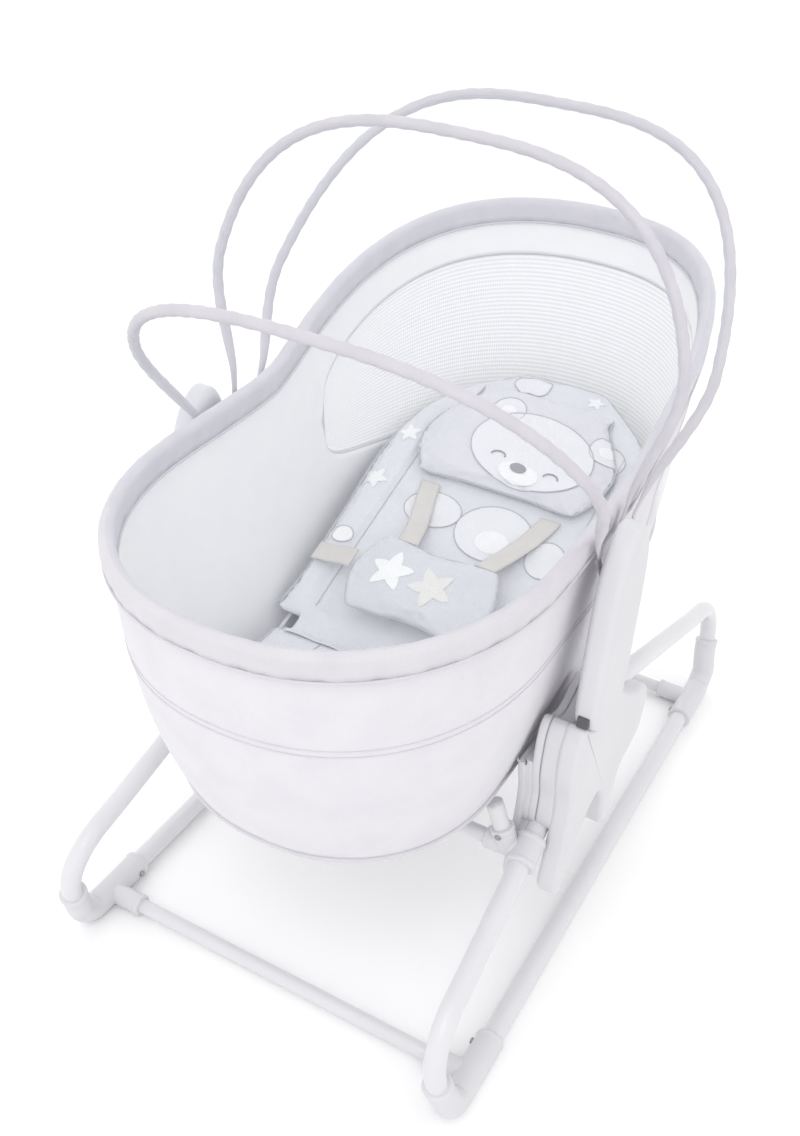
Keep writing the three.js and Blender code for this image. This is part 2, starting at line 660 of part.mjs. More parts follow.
// Centre line of the frame tube under a pad: a round-ended U, open at the hip.
const FRAME = { x: 138 };
const frameLoop = (place, from, to, width, endWidth, depth) =>
  steps(16).map((u) => {
    const angle = Math.PI * u;
    const x = (width + (endWidth - width) * Math.sin(angle)) * power(Math.cos(angle), 0.5);
    return place(x, from + (to - from) * Math.abs(Math.sin(angle)) ** 0.7, depth);
  });
const FRAME_DEPTH = -PAD - SEAT_TUBE_R - 1;
const RECLINE = { y: -117, z: 271, hub: 9, pin: 4, lug: 4 };
const lugX = FRAME.x + SEAT_TUBE_R + GAP;
const hingeRod = (x0, x1, radius) =>
  rod(V(x0, RECLINE.y, RECLINE.z), V(x1, RECLINE.y, RECLINE.z), radius, 14);

// Flat lug of the back frame on one side, with its hole round the hinge pin.
function backLug(side) {
  const top = onBack(0, 34, FRAME_DEPTH);
  const tilt = Math.atan2(top.z - RECLINE.z, top.y - RECLINE.y) * (180 / Math.PI);
  const ends = [
    ...arc(RECLINE.y, RECLINE.z, 10, tilt + 90, tilt + 270, 8),
    ...arc(top.y, top.z, 7, tilt - 90, tilt + 90, 6),
  ];
  const plate = plateX(ends, side * lugX, side * (lugX + RECLINE.lug));
  const link = rod(onBack(side * FRAME.x, 34, FRAME_DEPTH), onBack(side * (lugX + 2), 34, FRAME_DEPTH), 4);
  return [cut(plate, hingeRod(side * 120, side * 170, RECLINE.pin + GAP)), link];
}
const backBar = bar(
  frameLoop(onBack, 30, 408, FRAME.x, 138, FRAME_DEPTH), backNormal, SEAT_TUBE_R, 6,
);
add("back_frame", join(backBar, ...backLug(1), ...backLug(-1)), POWDER_COAT);

// The seat frame ends in a hub on each side that carries the hinge pin.
const hub = (side) => [
  hingeRod(side * (FRAME.x - SEAT_TUBE_R), side * (FRAME.x + SEAT_TUBE_R), RECLINE.hub),
  hingeRod(side * FRAME.x, side * (lugX + RECLINE.lug + 1), RECLINE.pin),
];
const seatBar = bar(
  frameLoop(onSeat, -2, 210, FRAME.x, 96, FRAME_DEPTH), seatNormal, SEAT_TUBE_R, 6,
);
add("seat_frame", join(seatBar, ...hub(1), ...hub(-1)), POWDER_COAT);

// Crotch pad: the padded front of the harness, standing over the hip.
const CROTCH = { y: -112, z: 336, length: 105, tilt: 22 };
const crotchDirection = V(0, Math.cos(radians(CROTCH.tilt)), Math.sin(radians(CROTCH.tilt)));
const crotchNormal = V(0, -crotchDirection.z, crotchDirection.y);
const onCrotch = (x, d, up) =>
  V(0, CROTCH.y, CROTCH.z)
    .addScaledVector(crotchDirection, d)
    .addScaledVector(crotchNormal, up)
    .setX(x);
const crotchRound = (u) => 58 + 32 * Math.sin(Math.PI * (0.15 + 0.7 * u));
add("crotch_pad", pad(onCrotch, 0, CROTCH.length, crotchRound, 12, -10), SEAT_FABRIC);

// Harness webbing: a flat band through the given points, lying on the seat back.
const WEB = { width: 25, thick: 2 };
function strap(points, across) {
  const rings = points.map((p) => {
    const edge = (side, up) =>
      p.clone().addScaledVector(across, (side * WEB.width) / 2).addScaledVector(backNormal, up);
    return [edge(-1, 0), edge(1, 0), edge(1, WEB.thick), edge(-1, WEB.thick)];
  });
  return skin(rings);
}
const shoulderLine = [
  onBack(78, 238, 0.6), onBack(70, 206, 1.5), onBack(58, 168, 10), onBack(48, 130, 25),
];
const waistLine = [
  onBack(92, 84, 32), onBack(110, 87, 24), onBack(132, 91, 11), onBack(154, 95, 0.6),
];
addPair("shoulder_strap", strap(shoulderLine, V(1, 0, 0)), WEBBING);
addPair("waist_strap", strap(waistLine, backDirection), WEBBING);

// The origin goes under the middle of the whole object.
const middle = new THREE.Box3().setFromObject(cradle).getCenter(V(0, 0, 0));
const shift = -Math.round(middle.y * 10) / 10;
for (const mesh of cradle.children) mesh.position.setY(shift);

export default cradle;
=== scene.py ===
import math

import bmesh
import bpy
import numpy as np
from mathutils import Matrix, Vector
from mathutils.bvhtree import BVHTree


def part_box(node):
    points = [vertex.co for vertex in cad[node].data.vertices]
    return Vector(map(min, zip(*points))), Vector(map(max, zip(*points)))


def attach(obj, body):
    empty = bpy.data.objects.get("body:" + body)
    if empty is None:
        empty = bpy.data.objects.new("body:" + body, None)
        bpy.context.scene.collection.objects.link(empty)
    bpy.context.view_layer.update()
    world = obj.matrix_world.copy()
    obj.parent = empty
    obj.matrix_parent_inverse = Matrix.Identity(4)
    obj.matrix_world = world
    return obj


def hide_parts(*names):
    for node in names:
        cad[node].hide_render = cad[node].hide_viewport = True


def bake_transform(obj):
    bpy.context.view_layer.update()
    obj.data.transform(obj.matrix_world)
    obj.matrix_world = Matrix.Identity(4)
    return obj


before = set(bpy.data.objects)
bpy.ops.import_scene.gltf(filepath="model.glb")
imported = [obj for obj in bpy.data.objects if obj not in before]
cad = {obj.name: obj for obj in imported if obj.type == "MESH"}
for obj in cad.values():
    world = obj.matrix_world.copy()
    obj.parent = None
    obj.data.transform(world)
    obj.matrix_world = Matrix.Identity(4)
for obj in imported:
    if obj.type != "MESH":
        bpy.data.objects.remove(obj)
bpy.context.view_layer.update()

# ---- The room: a pale studio floor under broad soft light ----
# The floor and backdrop are one sheet of white paper. The light is a bright even room with
# one large soft box in front, so shadows are faint.


def linear(code):
    """An sRGB hex colour as linear RGBA."""
    channels = [int(code[i : i + 2], 16) / 255 for i in (1, 3, 5)]
    bent = [c / 12.92 if c <= 0.04045 else ((c + 0.055) / 1.055) ** 2.4 for c in channels]
    return (*bent, 1.0)


def add_node(tree, kind, inputs, **settings):
    """Adds one node with its settings. An input is a value, or a (node, output) pair to link."""
    made = tree.nodes.new(kind)
    for field, value in settings.items():
        setattr(made, field, value)
    for name, value in inputs.items():
        if isinstance(value, tuple) and isinstance(value[0], bpy.types.Node):
            tree.links.new(value[0].outputs[value[1]], made.inputs[name])
        else:
            made.inputs[name].default_value = value
    return made


def new_material(name, **sockets):
    """A material with one Principled surface whose sockets are set, and its node tree."""
    made = bpy.data.materials.new(name)
    made.use_nodes = True
    surface = made.node_tree.nodes["Principled BSDF"]
    for socket, value in sockets.items():
        surface.inputs[socket.replace("_", " ")].default_value = value
    return made, made.node_tree, surface


def mesh_object(name, parts, material):
    """One mesh of several grids of points. A grid is (points, whether its last row joins its
    first, whether its last column does, whether its end rows are capped). Its UV map runs in
    metres, u from column to column and v from row to row."""
    vertices, faces, uvs, base = [], [], [], 0
    for points, round_rows, round_columns, capped in parts:
        rows, columns = points.shape[:2]
        steps_u = np.linalg.norm(np.diff(points, axis=1, append=points[:, :1]), axis=2).mean(0)
        steps_v = np.linalg.norm(np.diff(points, axis=0, append=points[:1]), axis=2).mean(1)
        u = np.concatenate([[0], np.cumsum(steps_u)])
        v = np.concatenate([[0], np.cumsum(steps_v)])
        i = np.arange(rows if round_rows else rows - 1)[:, None]
        j = np.arange(columns if round_columns else columns - 1)[None, :]
        corners = [(i, j), (i, j + 1), (i + 1, j + 1), (i + 1, j)]
        quads = np.stack(
            np.broadcast_arrays(*[a % rows * columns + b % columns + base for a, b in corners]),
            -1,
        ).reshape(-1, 4)
        place = [np.stack(np.broadcast_arrays(u[b], v[a]), -1) for a, b in corners]
        uvs.append(np.stack(place, 2).reshape(-1, 2))
        faces += quads.tolist()
        if capped:
            last = (rows - 1) * columns
            faces += [
                list(range(base + columns - 1, base - 1, -1)),
                list(range(base + last, base + last + columns)),
            ]
            uvs.append(np.zeros((2 * columns, 2)))
        vertices.append(points.reshape(-1, 3))
        base += rows * columns
    mesh = bpy.data.meshes.new(name)
    mesh.from_pydata(np.concatenate(vertices).tolist(), [], faces)
    mesh.uv_layers.new(name="UVMap").data.foreach_set(
        "uv", np.concatenate(uvs).astype(np.float32).ravel()
    )
    mesh.polygons.foreach_set("use_smooth", [True] * len(mesh.polygons))
    shell = bmesh.new()
    shell.from_mesh(mesh)
    bmesh.ops.remove_doubles(shell, verts=shell.verts, dist=1e-6)
    bmesh.ops.recalc_face_normals(shell, faces=shell.faces)
    shell.to_mesh(mesh)
    shell.free()
    mesh.materials.append(material)
    made = bpy.data.objects.new(name, mesh)
    bpy.context.scene.collection.objects.link(made)
    return made


def coat(tree, shade, low, high, relief=None, strength=0.0, depth=0.0):
    """Colours a surface between two hex colours by one pattern and, where relief is given,
    raises it by another. A pattern is a (node, output) pair, and depth is in metres."""
    surface = tree.nodes["Principled BSDF"]
    colours = {0: shade, 6: linear(low), 7: linear(high)}
    tone = add_node(tree, "ShaderNodeMix", colours, data_type="RGBA")
    tree.links.new(tone.outputs[2], surface.inputs["Base Color"])
    if relief:
        heights = {"Height": relief, "Strength": strength, "Distance": depth}
        lift = add_node(tree, "ShaderNodeBump", heights)
        tree.links.new(lift.outputs[0], surface.inputs["Normal"])


paper, paper_tree, _ = new_material("matt_white_paper", Roughness=0.9)
paper_grain = add_node(paper_tree, "ShaderNodeTexNoise", {"Scale": 40.0})
coat(paper_tree, (paper_grain, "Fac"), "#fdfdfd", "#ffffff")
FLOOR_REACH, FLOOR_DROP = 6, 0.0005
span = np.linspace(-FLOOR_REACH, FLOOR_REACH, 5)
floor_x, floor_y = np.meshgrid(span, span)
floor_grid = np.stack([floor_x, floor_y, 0 * floor_x - FLOOR_DROP], 2)
floor = mesh_object("studio_floor", [(floor_grid, False, False, False)], paper)

world = bpy.data.worlds.new("bright_room")
bpy.context.scene.world = world
world.use_nodes = True
sky = world.node_tree.nodes["Background"].inputs
sky["Color"].default_value, sky["Strength"].default_value = (1.0, 1.0, 1.0, 1.0), 1.06


def soft_box(name, place, aim, size, power):
    """A square area light at a place, turned to face aim."""
    lamp = bpy.data.lights.new(name, "AREA")
    lamp.size, lamp.energy = size, power
    made = bpy.data.objects.new(name, lamp)
    made.location = place
    made.rotation_euler = (Vector(aim) - Vector(place)).to_track_quat("-Z", "Y").to_euler()
    bpy.context.scene.collection.objects.link(made)


soft_box("soft_box_front", (0.4, -1.9, 2.6), (0, 0, 0.4), 1.5, 16.0)
soft_box("soft_box_back", (-1.4, 2.0, 2.2), (0, 0, 0.5), 1.4, 8.0)
bpy.context.scene.view_settings.view_transform = "Standard"

# The camera stands in front of the foot end, on the baby's left, and looks down into the
# basket. Its turn, its tilt down and its roll are in radians.
YAW, PITCH, ROLL = 0.4793, 0.6010, 0.0565
view = Vector((-math.sin(YAW) * math.cos(PITCH), math.cos(YAW) * math.cos(PITCH), -math.sin(PITCH)))
level = Vector((math.cos(YAW), math.sin(YAW), 0))
above = level.cross(view)
right = level * math.cos(ROLL) + above * math.sin(ROLL)
upward = above * math.cos(ROLL) - level * math.sin(ROLL)
lens = bpy.data.cameras.new("camera")
lens.sensor_width, lens.lens = 36.0, 40.24
camera = bpy.data.objects.new("camera", lens)
camera_at = Vector((0.4971, -1.0572, 1.1541))
columns = [(*right, 0), (*upward, 0), (*-view, 0), (*camera_at, 1)]
camera.matrix_world = Matrix(columns).transposed()
bpy.context.scene.collection.objects.link(camera)
bpy.context.scene.camera = camera

# ---- Stand tubes: bent and straight steel tube, powder coated white ----
# Each side has one straight tube on the floor and two arches that rise to the leg cover
# and turn down into the corner connectors. Thinner tubes join the two sides.
TRACK, LEAN, AXLE = 0.230, 0.12, 0.0135
MIDDLE = 0.0154  # the stand's middle lies this far towards the head end
TUBE, CROSS = 0.011, 0.008
RAIL_END = 0.352
HAIRPIN = np.array(
    [
        (-0.397, 0.030), (-0.400, 0.050), (-0.407, 0.068), (-0.412, 0.088), (-0.409, 0.110),
        (-0.396, 0.129), (-0.374, 0.143), (-0.335, 0.1545), (-0.250, 0.1815), (-0.120, 0.2229),
        (-0.003, 0.2601),
    ]
)  # the front arch's centre line, as distance from the middle and height


def smooth_line(points, count):
    """Catmull-Rom curve through points, as count places an equal length apart."""
    p = np.vstack([2 * points[0] - points[1], points, 2 * points[-1] - points[-2]])
    t = np.linspace(0, 1, 24, endpoint=False)[:, None, None]
    a, b, c, d = p[:-3], p[1:-2], p[2:-1], p[3:]
    curve = 0.5 * (
        2 * b + (c - a) * t + (2 * a - 5 * b + 4 * c - d) * t**2
        + (3 * b - a - 3 * c + d) * t**3
    )
    curve = np.vstack([curve.transpose(1, 0, 2).reshape(-1, points.shape[1]), points[-1:]])
    run = np.concatenate([[0], np.cumsum(np.linalg.norm(np.diff(curve, axis=0), axis=1))])
    at = np.linspace(0, run[-1], count)
    return np.stack([np.interp(at, run, curve[:, k]) for k in range(points.shape[1])], 1)


def carried(path, normal, section, closed=False):
    """A section carried along a path: each row is the path's point, plus the section's first
    number along the normal, plus its second across both the normal and the path."""
    if closed:
        tangent = np.roll(path, -1, 0) - np.roll(path, 1, 0)
    else:
        tangent = np.gradient(path, axis=0)
    tangent /= np.linalg.norm(tangent, axis=1)[:, None]
    normal = np.broadcast_to(normal, path.shape)
    normal = normal - (normal * tangent).sum(1)[:, None] * tangent
    normal = normal / np.linalg.norm(normal, axis=1)[:, None]
    across = np.cross(tangent, normal)
    section = np.broadcast_to(section, (len(path), *np.shape(section)[-2:]))
    return (path[:, None] + section[..., :1] * normal[:, None] + section[..., 1:] * across[:, None])


def disc(radius, sides=24):
    """Points round a circle. An array of radii gives one circle for each."""
    angle = np.arange(sides) * 2 * math.pi / sides
    circle = np.stack([np.cos(angle), np.sin(angle)], 1)
    return np.multiply.outer(np.asarray(radius, float), circle)


def round_rod(name, line, normal, radius, material, closed=False, sides=24):
    """A round rod, tube, cord or thread along a line: a circle carried along it."""
    grid = carried(line, normal, disc(radius, sides), closed)
    return mesh_object(name, [(grid, closed, True, not closed)], material)


def belong(piece, body, slot, *nodes):
    """The piece rides on a body and stands for CAD nodes, which it hides. The slot is not used."""
    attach(piece, body)
    if nodes:
        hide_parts(*nodes)
    return piece


def finished(piece, material):
    """Gives a piece one material in place of those it has."""
    piece.data.materials.clear()
    piece.data.materials.append(material)


def applied(piece):
    """Applies every modifier on a piece."""
    seen = piece.evaluated_get(bpy.context.evaluated_depsgraph_get())
    mesh = bpy.data.meshes.new_from_object(seen)
    piece.modifiers.clear()
    piece.data = mesh


def speckled(name, light, dark, roughness, grain, bump, **sockets):
    """Enamel or moulded plastic: one colour with a faint cloud in it, and a fine skin
    texture whose grain is a size in metres."""
    made, tree, surface = new_material(name, Roughness=roughness, **sockets)
    where = add_node(tree, "ShaderNodeTexCoord", {})
    cloud = add_node(tree, "ShaderNodeTexNoise", {"Vector": (where, "Object"), "Scale": 9.0})
    skin = add_node(
        tree,
        "ShaderNodeTexNoise",
        {"Vector": (where, "Object"), "Scale": 1 / grain, "Detail": 3.0},
    )
    rough = add_node(
        tree,
        "ShaderNodeMapRange",
        {"Value": (skin, "Fac"), "To Min": roughness - 0.06, "To Max": roughness + 0.08},
    )
    tree.links.new(rough.outputs[0], surface.inputs["Roughness"])
    coat(tree, (cloud, "Fac"), light, dark, (skin, "Fac"), bump, 0.0004)
    return made


# Powder coat is baked enamel: even, satin, with a faint orange-peel skin.
powder_coat = speckled("white_powder_coat", "#dfdfe2", "#d5d5d9", 0.34, 0.002, 0.12, Coat_Weight=0.25)


def loop_x(z):
    """How far a side loop stands from the middle at a height."""
    return TRACK - LEAN * (z - AXLE)


def extent(node):
    """The low corner, the high corner and the middle of a CAD node's box."""
    low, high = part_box(node)
    return low, high, (low + high) / 2


SIDES = {"left": 1, "right": -1}
ENDS = {"front": -1, "rear": 1}
lean_normal = np.array([1, 0, LEAN]) / math.hypot(1, LEAN)
arch_yz = smooth_line(HAIRPIN, 90)
arch = np.stack([loop_x(arch_yz[:, 1]), arch_yz[:, 0], arch_yz[:, 1]], 1)
for side, x_sign in SIDES.items():
    for end, y_sign in ENDS.items():
        line = arch * [x_sign, -y_sign, 1] + [0, MIDDLE, 0]
        normal = lean_normal * [x_sign, 1, 1]
        tube = round_rod(f"arch_{end}_{side}", line, normal, TUBE, powder_coat)
        belong(tube, "stand", "powder_coat", f"{end}_arch_tube_{side}")
    run = np.linspace(-RAIL_END, RAIL_END, 12)
    line = np.array([(TRACK * x_sign, y + MIDDLE, AXLE) for y in run])
    tube = round_rod(f"floor_rail_{side}", line, (1, 0, 0), TUBE, powder_coat)
    belong(tube, "stand", "powder_coat", f"floor_tube_{side}")
for node in ("front_cross_tube", "rear_cross_tube", "middle_cross_tube"):
    low, high, middle = extent(node)
    line = np.array([(x, middle.y, middle.z) for x in np.linspace(low.x, high.x, 10)])
    tube = round_rod(node.replace("tube", "bar"), line, (0, 0, 1), CROSS, powder_coat)
    belong(tube, "stand", "powder_coat", node)

# ---- Connectors: moulded white plastic elbows and tees that lock on with snap buttons ----
# Each corner elbow holds the floor tube, turns up to hold the arch, and has a short branch
# for the cross tube. Every mouth has a thicker lip.
SLEEVE, BRANCH, TEE_SLEEVE, STRUT_SOCKET, STRUT = 0.0145, 0.0115, 0.015, 0.012, 0.009
LIP, LIP_WIDE, LIP_EDGE = 0.0009, 0.006, 0.0012
MOUTH_WIDE, MOUTH_DEEP = 0.0016, 0.0026
white_plastic = speckled("moulded_white_plastic", "#dadadd", "#d1d1d5", 0.42, 0.0009, 0.1)


def lipped(length, radius, ends):
    """Radius along a sleeve: a lip at the chosen ends, its edge rounded over at the mouth."""
    run = length[-1]
    grown = np.full(len(length), radius)
    for chosen, distance in zip(ends, (length, run - length)):
        if chosen:
            ridge = np.clip((LIP_WIDE - distance) / LIP_EDGE, 0, 1)
            mouth = np.clip(distance / MOUTH_WIDE, 0, 1)
            grown = grown + LIP * ridge - MOUTH_DEEP * (1 - np.sqrt(1 - (1 - mouth) ** 2))
    return grown


def sleeve(points, normal, radius, count=60, ends=(True, True)):
    """A lipped sleeve carried along a path, with stations close together at its mouths."""
    line = smooth_line(np.asarray(points, float), 200)
    run = np.concatenate([[0], np.cumsum(np.linalg.norm(np.diff(line, axis=0), axis=1))])
    even = np.linspace(0, run[-1], count)
    close = np.array([0.0003, 0.0008, 0.0016, 0.004, 0.0052, 0.0058, 0.0066, 0.0075])
    at = np.unique(np.concatenate([even, close, run[-1] - close]))
    path = np.stack([np.interp(at, run, line[:, k]) for k in range(3)], 1)
    return carried(path, normal, disc(lipped(at, radius, ends))), False, True, True


# The elbow's line runs in along the floor, bends up on an arc, and follows the arch's foot.
BEND = 0.030
turn = np.radians(np.linspace(-90, -162, 7))
bend_y, bend_z = -0.366 + BEND * np.cos(turn), AXLE + BEND * (1 + np.sin(turn))
elbow = np.stack([0 * turn + TRACK, bend_y, bend_z], 1)
run_in = np.array([(TRACK, y, AXLE) for y in (-0.296, -0.311, -0.326, -0.345)])
foot = [(loop_x(0.055), -0.4025, 0.055), (loop_x(0.075), -0.409, 0.075)]
elbow_line = np.vstack([run_in, elbow[1:], foot])
for side, x_sign in SIDES.items():
    for end, y_sign in ENDS.items():
        flip = np.array([x_sign, -y_sign, 1])
        branch = [(TRACK - d, -0.345, AXLE) for d in (0.008, 0.02, 0.033, 0.046)]
        parts = [
            sleeve(elbow_line * flip, (1, 0, 0), SLEEVE),
            sleeve(np.array(branch) * flip, (0, 0, 1), BRANCH, 24, (False, True)),
        ]
        for points, *_ in parts:
            points += [0, MIDDLE, 0]
            points[..., 2] = np.maximum(points[..., 2], 0.0)
        piece = mesh_object(f"corner_elbow_{end}_{side}", parts, white_plastic)
        belong(piece, "stand", "white_plastic", f"{end}_connector_{side}")
# Each tee sits where the front arch climbs at an even slope. The strut leans out of it.
TEE_Y, CLIMB = -0.206, 0.318
tee_z = 0.1545 + CLIMB * (TEE_Y + 0.335)
tee_at = np.array([loop_x(tee_z), TEE_Y, tee_z])
slope = np.array([-LEAN * CLIMB, 1, CLIMB])
slope /= np.linalg.norm(slope)
strut_foot = tee_at - [0.020, 0, 0]
strut_way = np.array([0.168, TEE_Y, 0.2455]) - strut_foot
strut_way /= np.linalg.norm(strut_way)
for side, x_sign in SIDES.items():
    flip = np.array([x_sign, 1, 1])
    along = np.linspace(-0.017, 0.017, 5)[:, None] * slope + tee_at
    branch = np.array([tee_at - [d, 0, 0] for d in (0.006, 0.02, 0.032, 0.044)])
    socket = np.array([strut_foot + strut_way * d for d in (0.0, 0.008, 0.016, 0.024)])
    parts = [
        sleeve(along * flip, (1, 0, 0), TEE_SLEEVE, 30),
        sleeve(branch * flip, (0, 0, 1), BRANCH, 24, (False, True)),
        sleeve(socket * flip, (0, 1, 0), STRUT_SOCKET, 20, (False, True)),
    ]
    for points, *_ in parts:
        points += [0, MIDDLE, 0]
    piece = mesh_object(f"tee_{side}", parts, white_plastic)
    belong(piece, "stand", "white_plastic", f"tee_connector_{side}")
    line = np.array([strut_foot + strut_way * d for d in np.linspace(0.014, 0.054, 8)])
    line = line * flip + [0, MIDDLE, 0]
    piece = round_rod(f"strut_{side}", line, (0, 1, 0), STRUT, powder_coat)
    belong(piece, "stand", "powder_coat", f"floor_strut_{side}")

# Snap buttons are small zinc-plated steel domes that spring out through each sleeve.
zinc = speckled("zinc_plated_steel", "#b9bbbe", "#8f9195", 0.32, 0.0012, 0.1, Metallic=0.9)


def dome(start, tip, radius):
    """A round pin whose far end is a dome: its radius falls to nothing as a half circle."""
    start, tip = np.array(start), np.array(tip)
    length = np.linalg.norm(tip - start)
    angle = np.linspace(0, math.pi / 2, 8)
    at = np.concatenate([[0, 0.3, 0.6], 0.6 + 0.4 * np.sin(angle[1:])])
    wide = np.concatenate([[1, 1, 1], np.maximum(np.cos(angle[1:]), 0.02)]) * radius
    path = start + (tip - start) * at[:, None]
    other = np.cross(tip - start, (0.3, 0.5, 0.8))
    return carried(path, other / length, disc(wide, 16)), False, True, True


SNAP = 0.0035
for side in SIDES:
    for place in ("front", "rear", "strut"):
        name = f"{place}_snap_button_{side}"
        low, high, middle = extent(name)
        if place == "strut":
            ends = [(middle.x, y, middle.z) for y in (high.y, low.y)]
        else:
            outwards_first = sorted((low.x, high.x), key=abs, reverse=True)
            ends = [(x, middle.y, middle.z) for x in outwards_first]
        piece = mesh_object(name.replace("button", "dome"), [dome(*ends, SNAP)], zinc)
        belong(piece, name, "steel", name)

# ---- Leg covers: two moulded halves screwed together round the arch tubes ----
# The cover has three lobes below, and the outer half hides the slot that the arches pass
# through. The pod stands in the round seat on top.
COVER = np.array(
    [
        (-0.175, 0.352), (-0.186, 0.338), (-0.190, 0.318), (-0.190, 0.290), (-0.182, 0.254),
        (-0.183, 0.215), (-0.193, 0.165), (-0.194, 0.142), (-0.182, 0.132), (-0.168, 0.136),
        (-0.160, 0.152), (-0.154, 0.180), (-0.134, 0.192), (-0.118, 0.204), (-0.100, 0.206),
        (-0.084, 0.194), (-0.074, 0.176), (-0.067, 0.148), (-0.061, 0.128), (-0.048, 0.121),
        (-0.036, 0.128), (-0.033, 0.148), (-0.028, 0.186), (0.004, 0.196), (0.026, 0.206),
        (0.032, 0.222), (0.036, 0.240), (0.033, 0.260), (0.018, 0.273), (-0.012, 0.284),
        (-0.040, 0.302), (-0.072, 0.330), (-0.086, 0.349), (-0.096, 0.352), (-0.104, 0.346),
        (-0.120, 0.336), (-0.135, 0.3335), (-0.150, 0.336), (-0.166, 0.346),
    ]
)  # the outline, as distance from the middle and height


def closed_line(points, count):
    """The smooth closed curve through points, as count places an equal length apart."""
    wrapped = np.vstack([points[-2:], points, points[:3]])
    dense = smooth_line(wrapped, 1500)
    run = np.concatenate([[0], np.cumsum(np.linalg.norm(np.diff(dense, axis=0), axis=1))])
    start = np.argmin(np.linalg.norm(dense[:600] - points[0], axis=1))
    stop = 900 + np.argmin(np.linalg.norm(dense[900:] - points[0], axis=1))
    at = np.linspace(run[start], run[stop], count + 1)[:-1]
    return np.stack([np.interp(at, run, dense[:, k]) for k in range(points.shape[1])], 1)


def plate(outline, x0, x1, edge, depth=None):
    """A flat-sided moulding from x0 to x1: its outline steps inwards along a quarter circle
    at each edge, by edge in the outline's plane and by depth along X."""
    depth = edge if depth is None else depth
    tangent = np.roll(outline, -1, 0) - np.roll(outline, 1, 0)
    normal = np.stack([tangent[:, 1], -tangent[:, 0]], 1)
    normal /= np.linalg.norm(normal, axis=1)[:, None]
    following = np.roll(outline, -1, 0)
    area = (outline[:, 0] * following[:, 1] - following[:, 0] * outline[:, 1]).sum()
    normal *= np.sign(area)
    angle = np.linspace(0, math.pi / 2, 7)
    way = 1 if x1 > x0 else -1
    early, late = 1 - np.sin(angle), 1 - np.cos(angle)
    inset = edge * np.concatenate([early, late])
    x = np.concatenate([x0 + way * depth * late, x1 - way * depth * early])
    rings = outline[None] - inset[:, None, None] * normal[None]
    across = np.broadcast_to(x[:, None, None], (*rings.shape[:2], 1))
    return np.concatenate([across, rings], 2), False, True, True


cover_line = closed_line(COVER, 200) + [MIDDLE, 0]
core_line = closed_line(
    np.array(
        [
            (-0.172, 0.350), (-0.185, 0.335), (-0.188, 0.290), (-0.180, 0.254), (-0.178, 0.210),
            (-0.140, 0.203), (-0.080, 0.201), (-0.020, 0.201), (0.020, 0.208), (0.031, 0.240),
            (0.018, 0.270), (-0.040, 0.299), (-0.086, 0.346), (-0.104, 0.344), (-0.135, 0.3325),
            (-0.160, 0.341),
        ]
    ),
    90,
) + [MIDDLE, 0]
# The inner half stops lower, where the basket's wall comes past it.
low_line = np.stack([cover_line[:, 0], np.minimum(cover_line[:, 1], 0.297)], 1)
low_core = np.stack([core_line[:, 0], np.minimum(core_line[:, 1], 0.299)], 1)
HALVES = {
    "outer": ((cover_line, 0.2195, 0.242, 0.006), (core_line, 0.2043, 0.222, 0.003)),
    "inner": (
        (low_line, 0.181, 0.190, 0.0035),
        (low_core, 0.187, 0.197, 0.003),
        (core_line, 0.195, 0.204, 0.003),
    ),
}  # each half's plates: outline, from and to across the cradle, and edge radius
for side, x_sign in SIDES.items():
    for half, plates in HALVES.items():
        parts = [plate(line, x_sign * x0, x_sign * x1, edge) for line, x0, x1, edge in plates]
        cover = mesh_object(f"cover_{half}_{side}", parts, white_plastic)
        belong(cover, "stand", "white_plastic", f"leg_cover_{half}_{side}")

# ---- Side pods: tall rounded housings that drop over the posts and carry the basket ----
# Each is a hollow white moulding with a soft pillowed face and a grey release button low
# on its front edge. The bows turn on steel pins just inside it.
POD_LINE = np.array(
    [
        (-0.175, 0.372), (-0.170, 0.352), (-0.156, 0.338), (-0.135, 0.332), (-0.114, 0.338),
        (-0.100, 0.352), (-0.095, 0.372), (-0.0945, 0.420), (-0.094, 0.470), (-0.097, 0.515),
        (-0.106, 0.541), (-0.116, 0.556), (-0.128, 0.560), (-0.143, 0.552), (-0.158, 0.536),
        (-0.169, 0.505), (-0.174, 0.450), (-0.175, 0.410),
    ]
)
pod_line = closed_line(POD_LINE, 120) + [MIDDLE, 0]
POD_INNER, POD_OUTER, POD_ROUND, POD_CROWN = 0.2225, 0.250, 0.012, 0.0085
POST_GAP, SLOT_DROP, KEY_EDGE, PIN = (0.0006, 0.0006, 0.0012), 0.080, 0.0012, 0.004
latch_grey = speckled("moulded_grey_plastic", "#5f5f64", "#4c4c51", 0.46, 0.0008, 0.1)
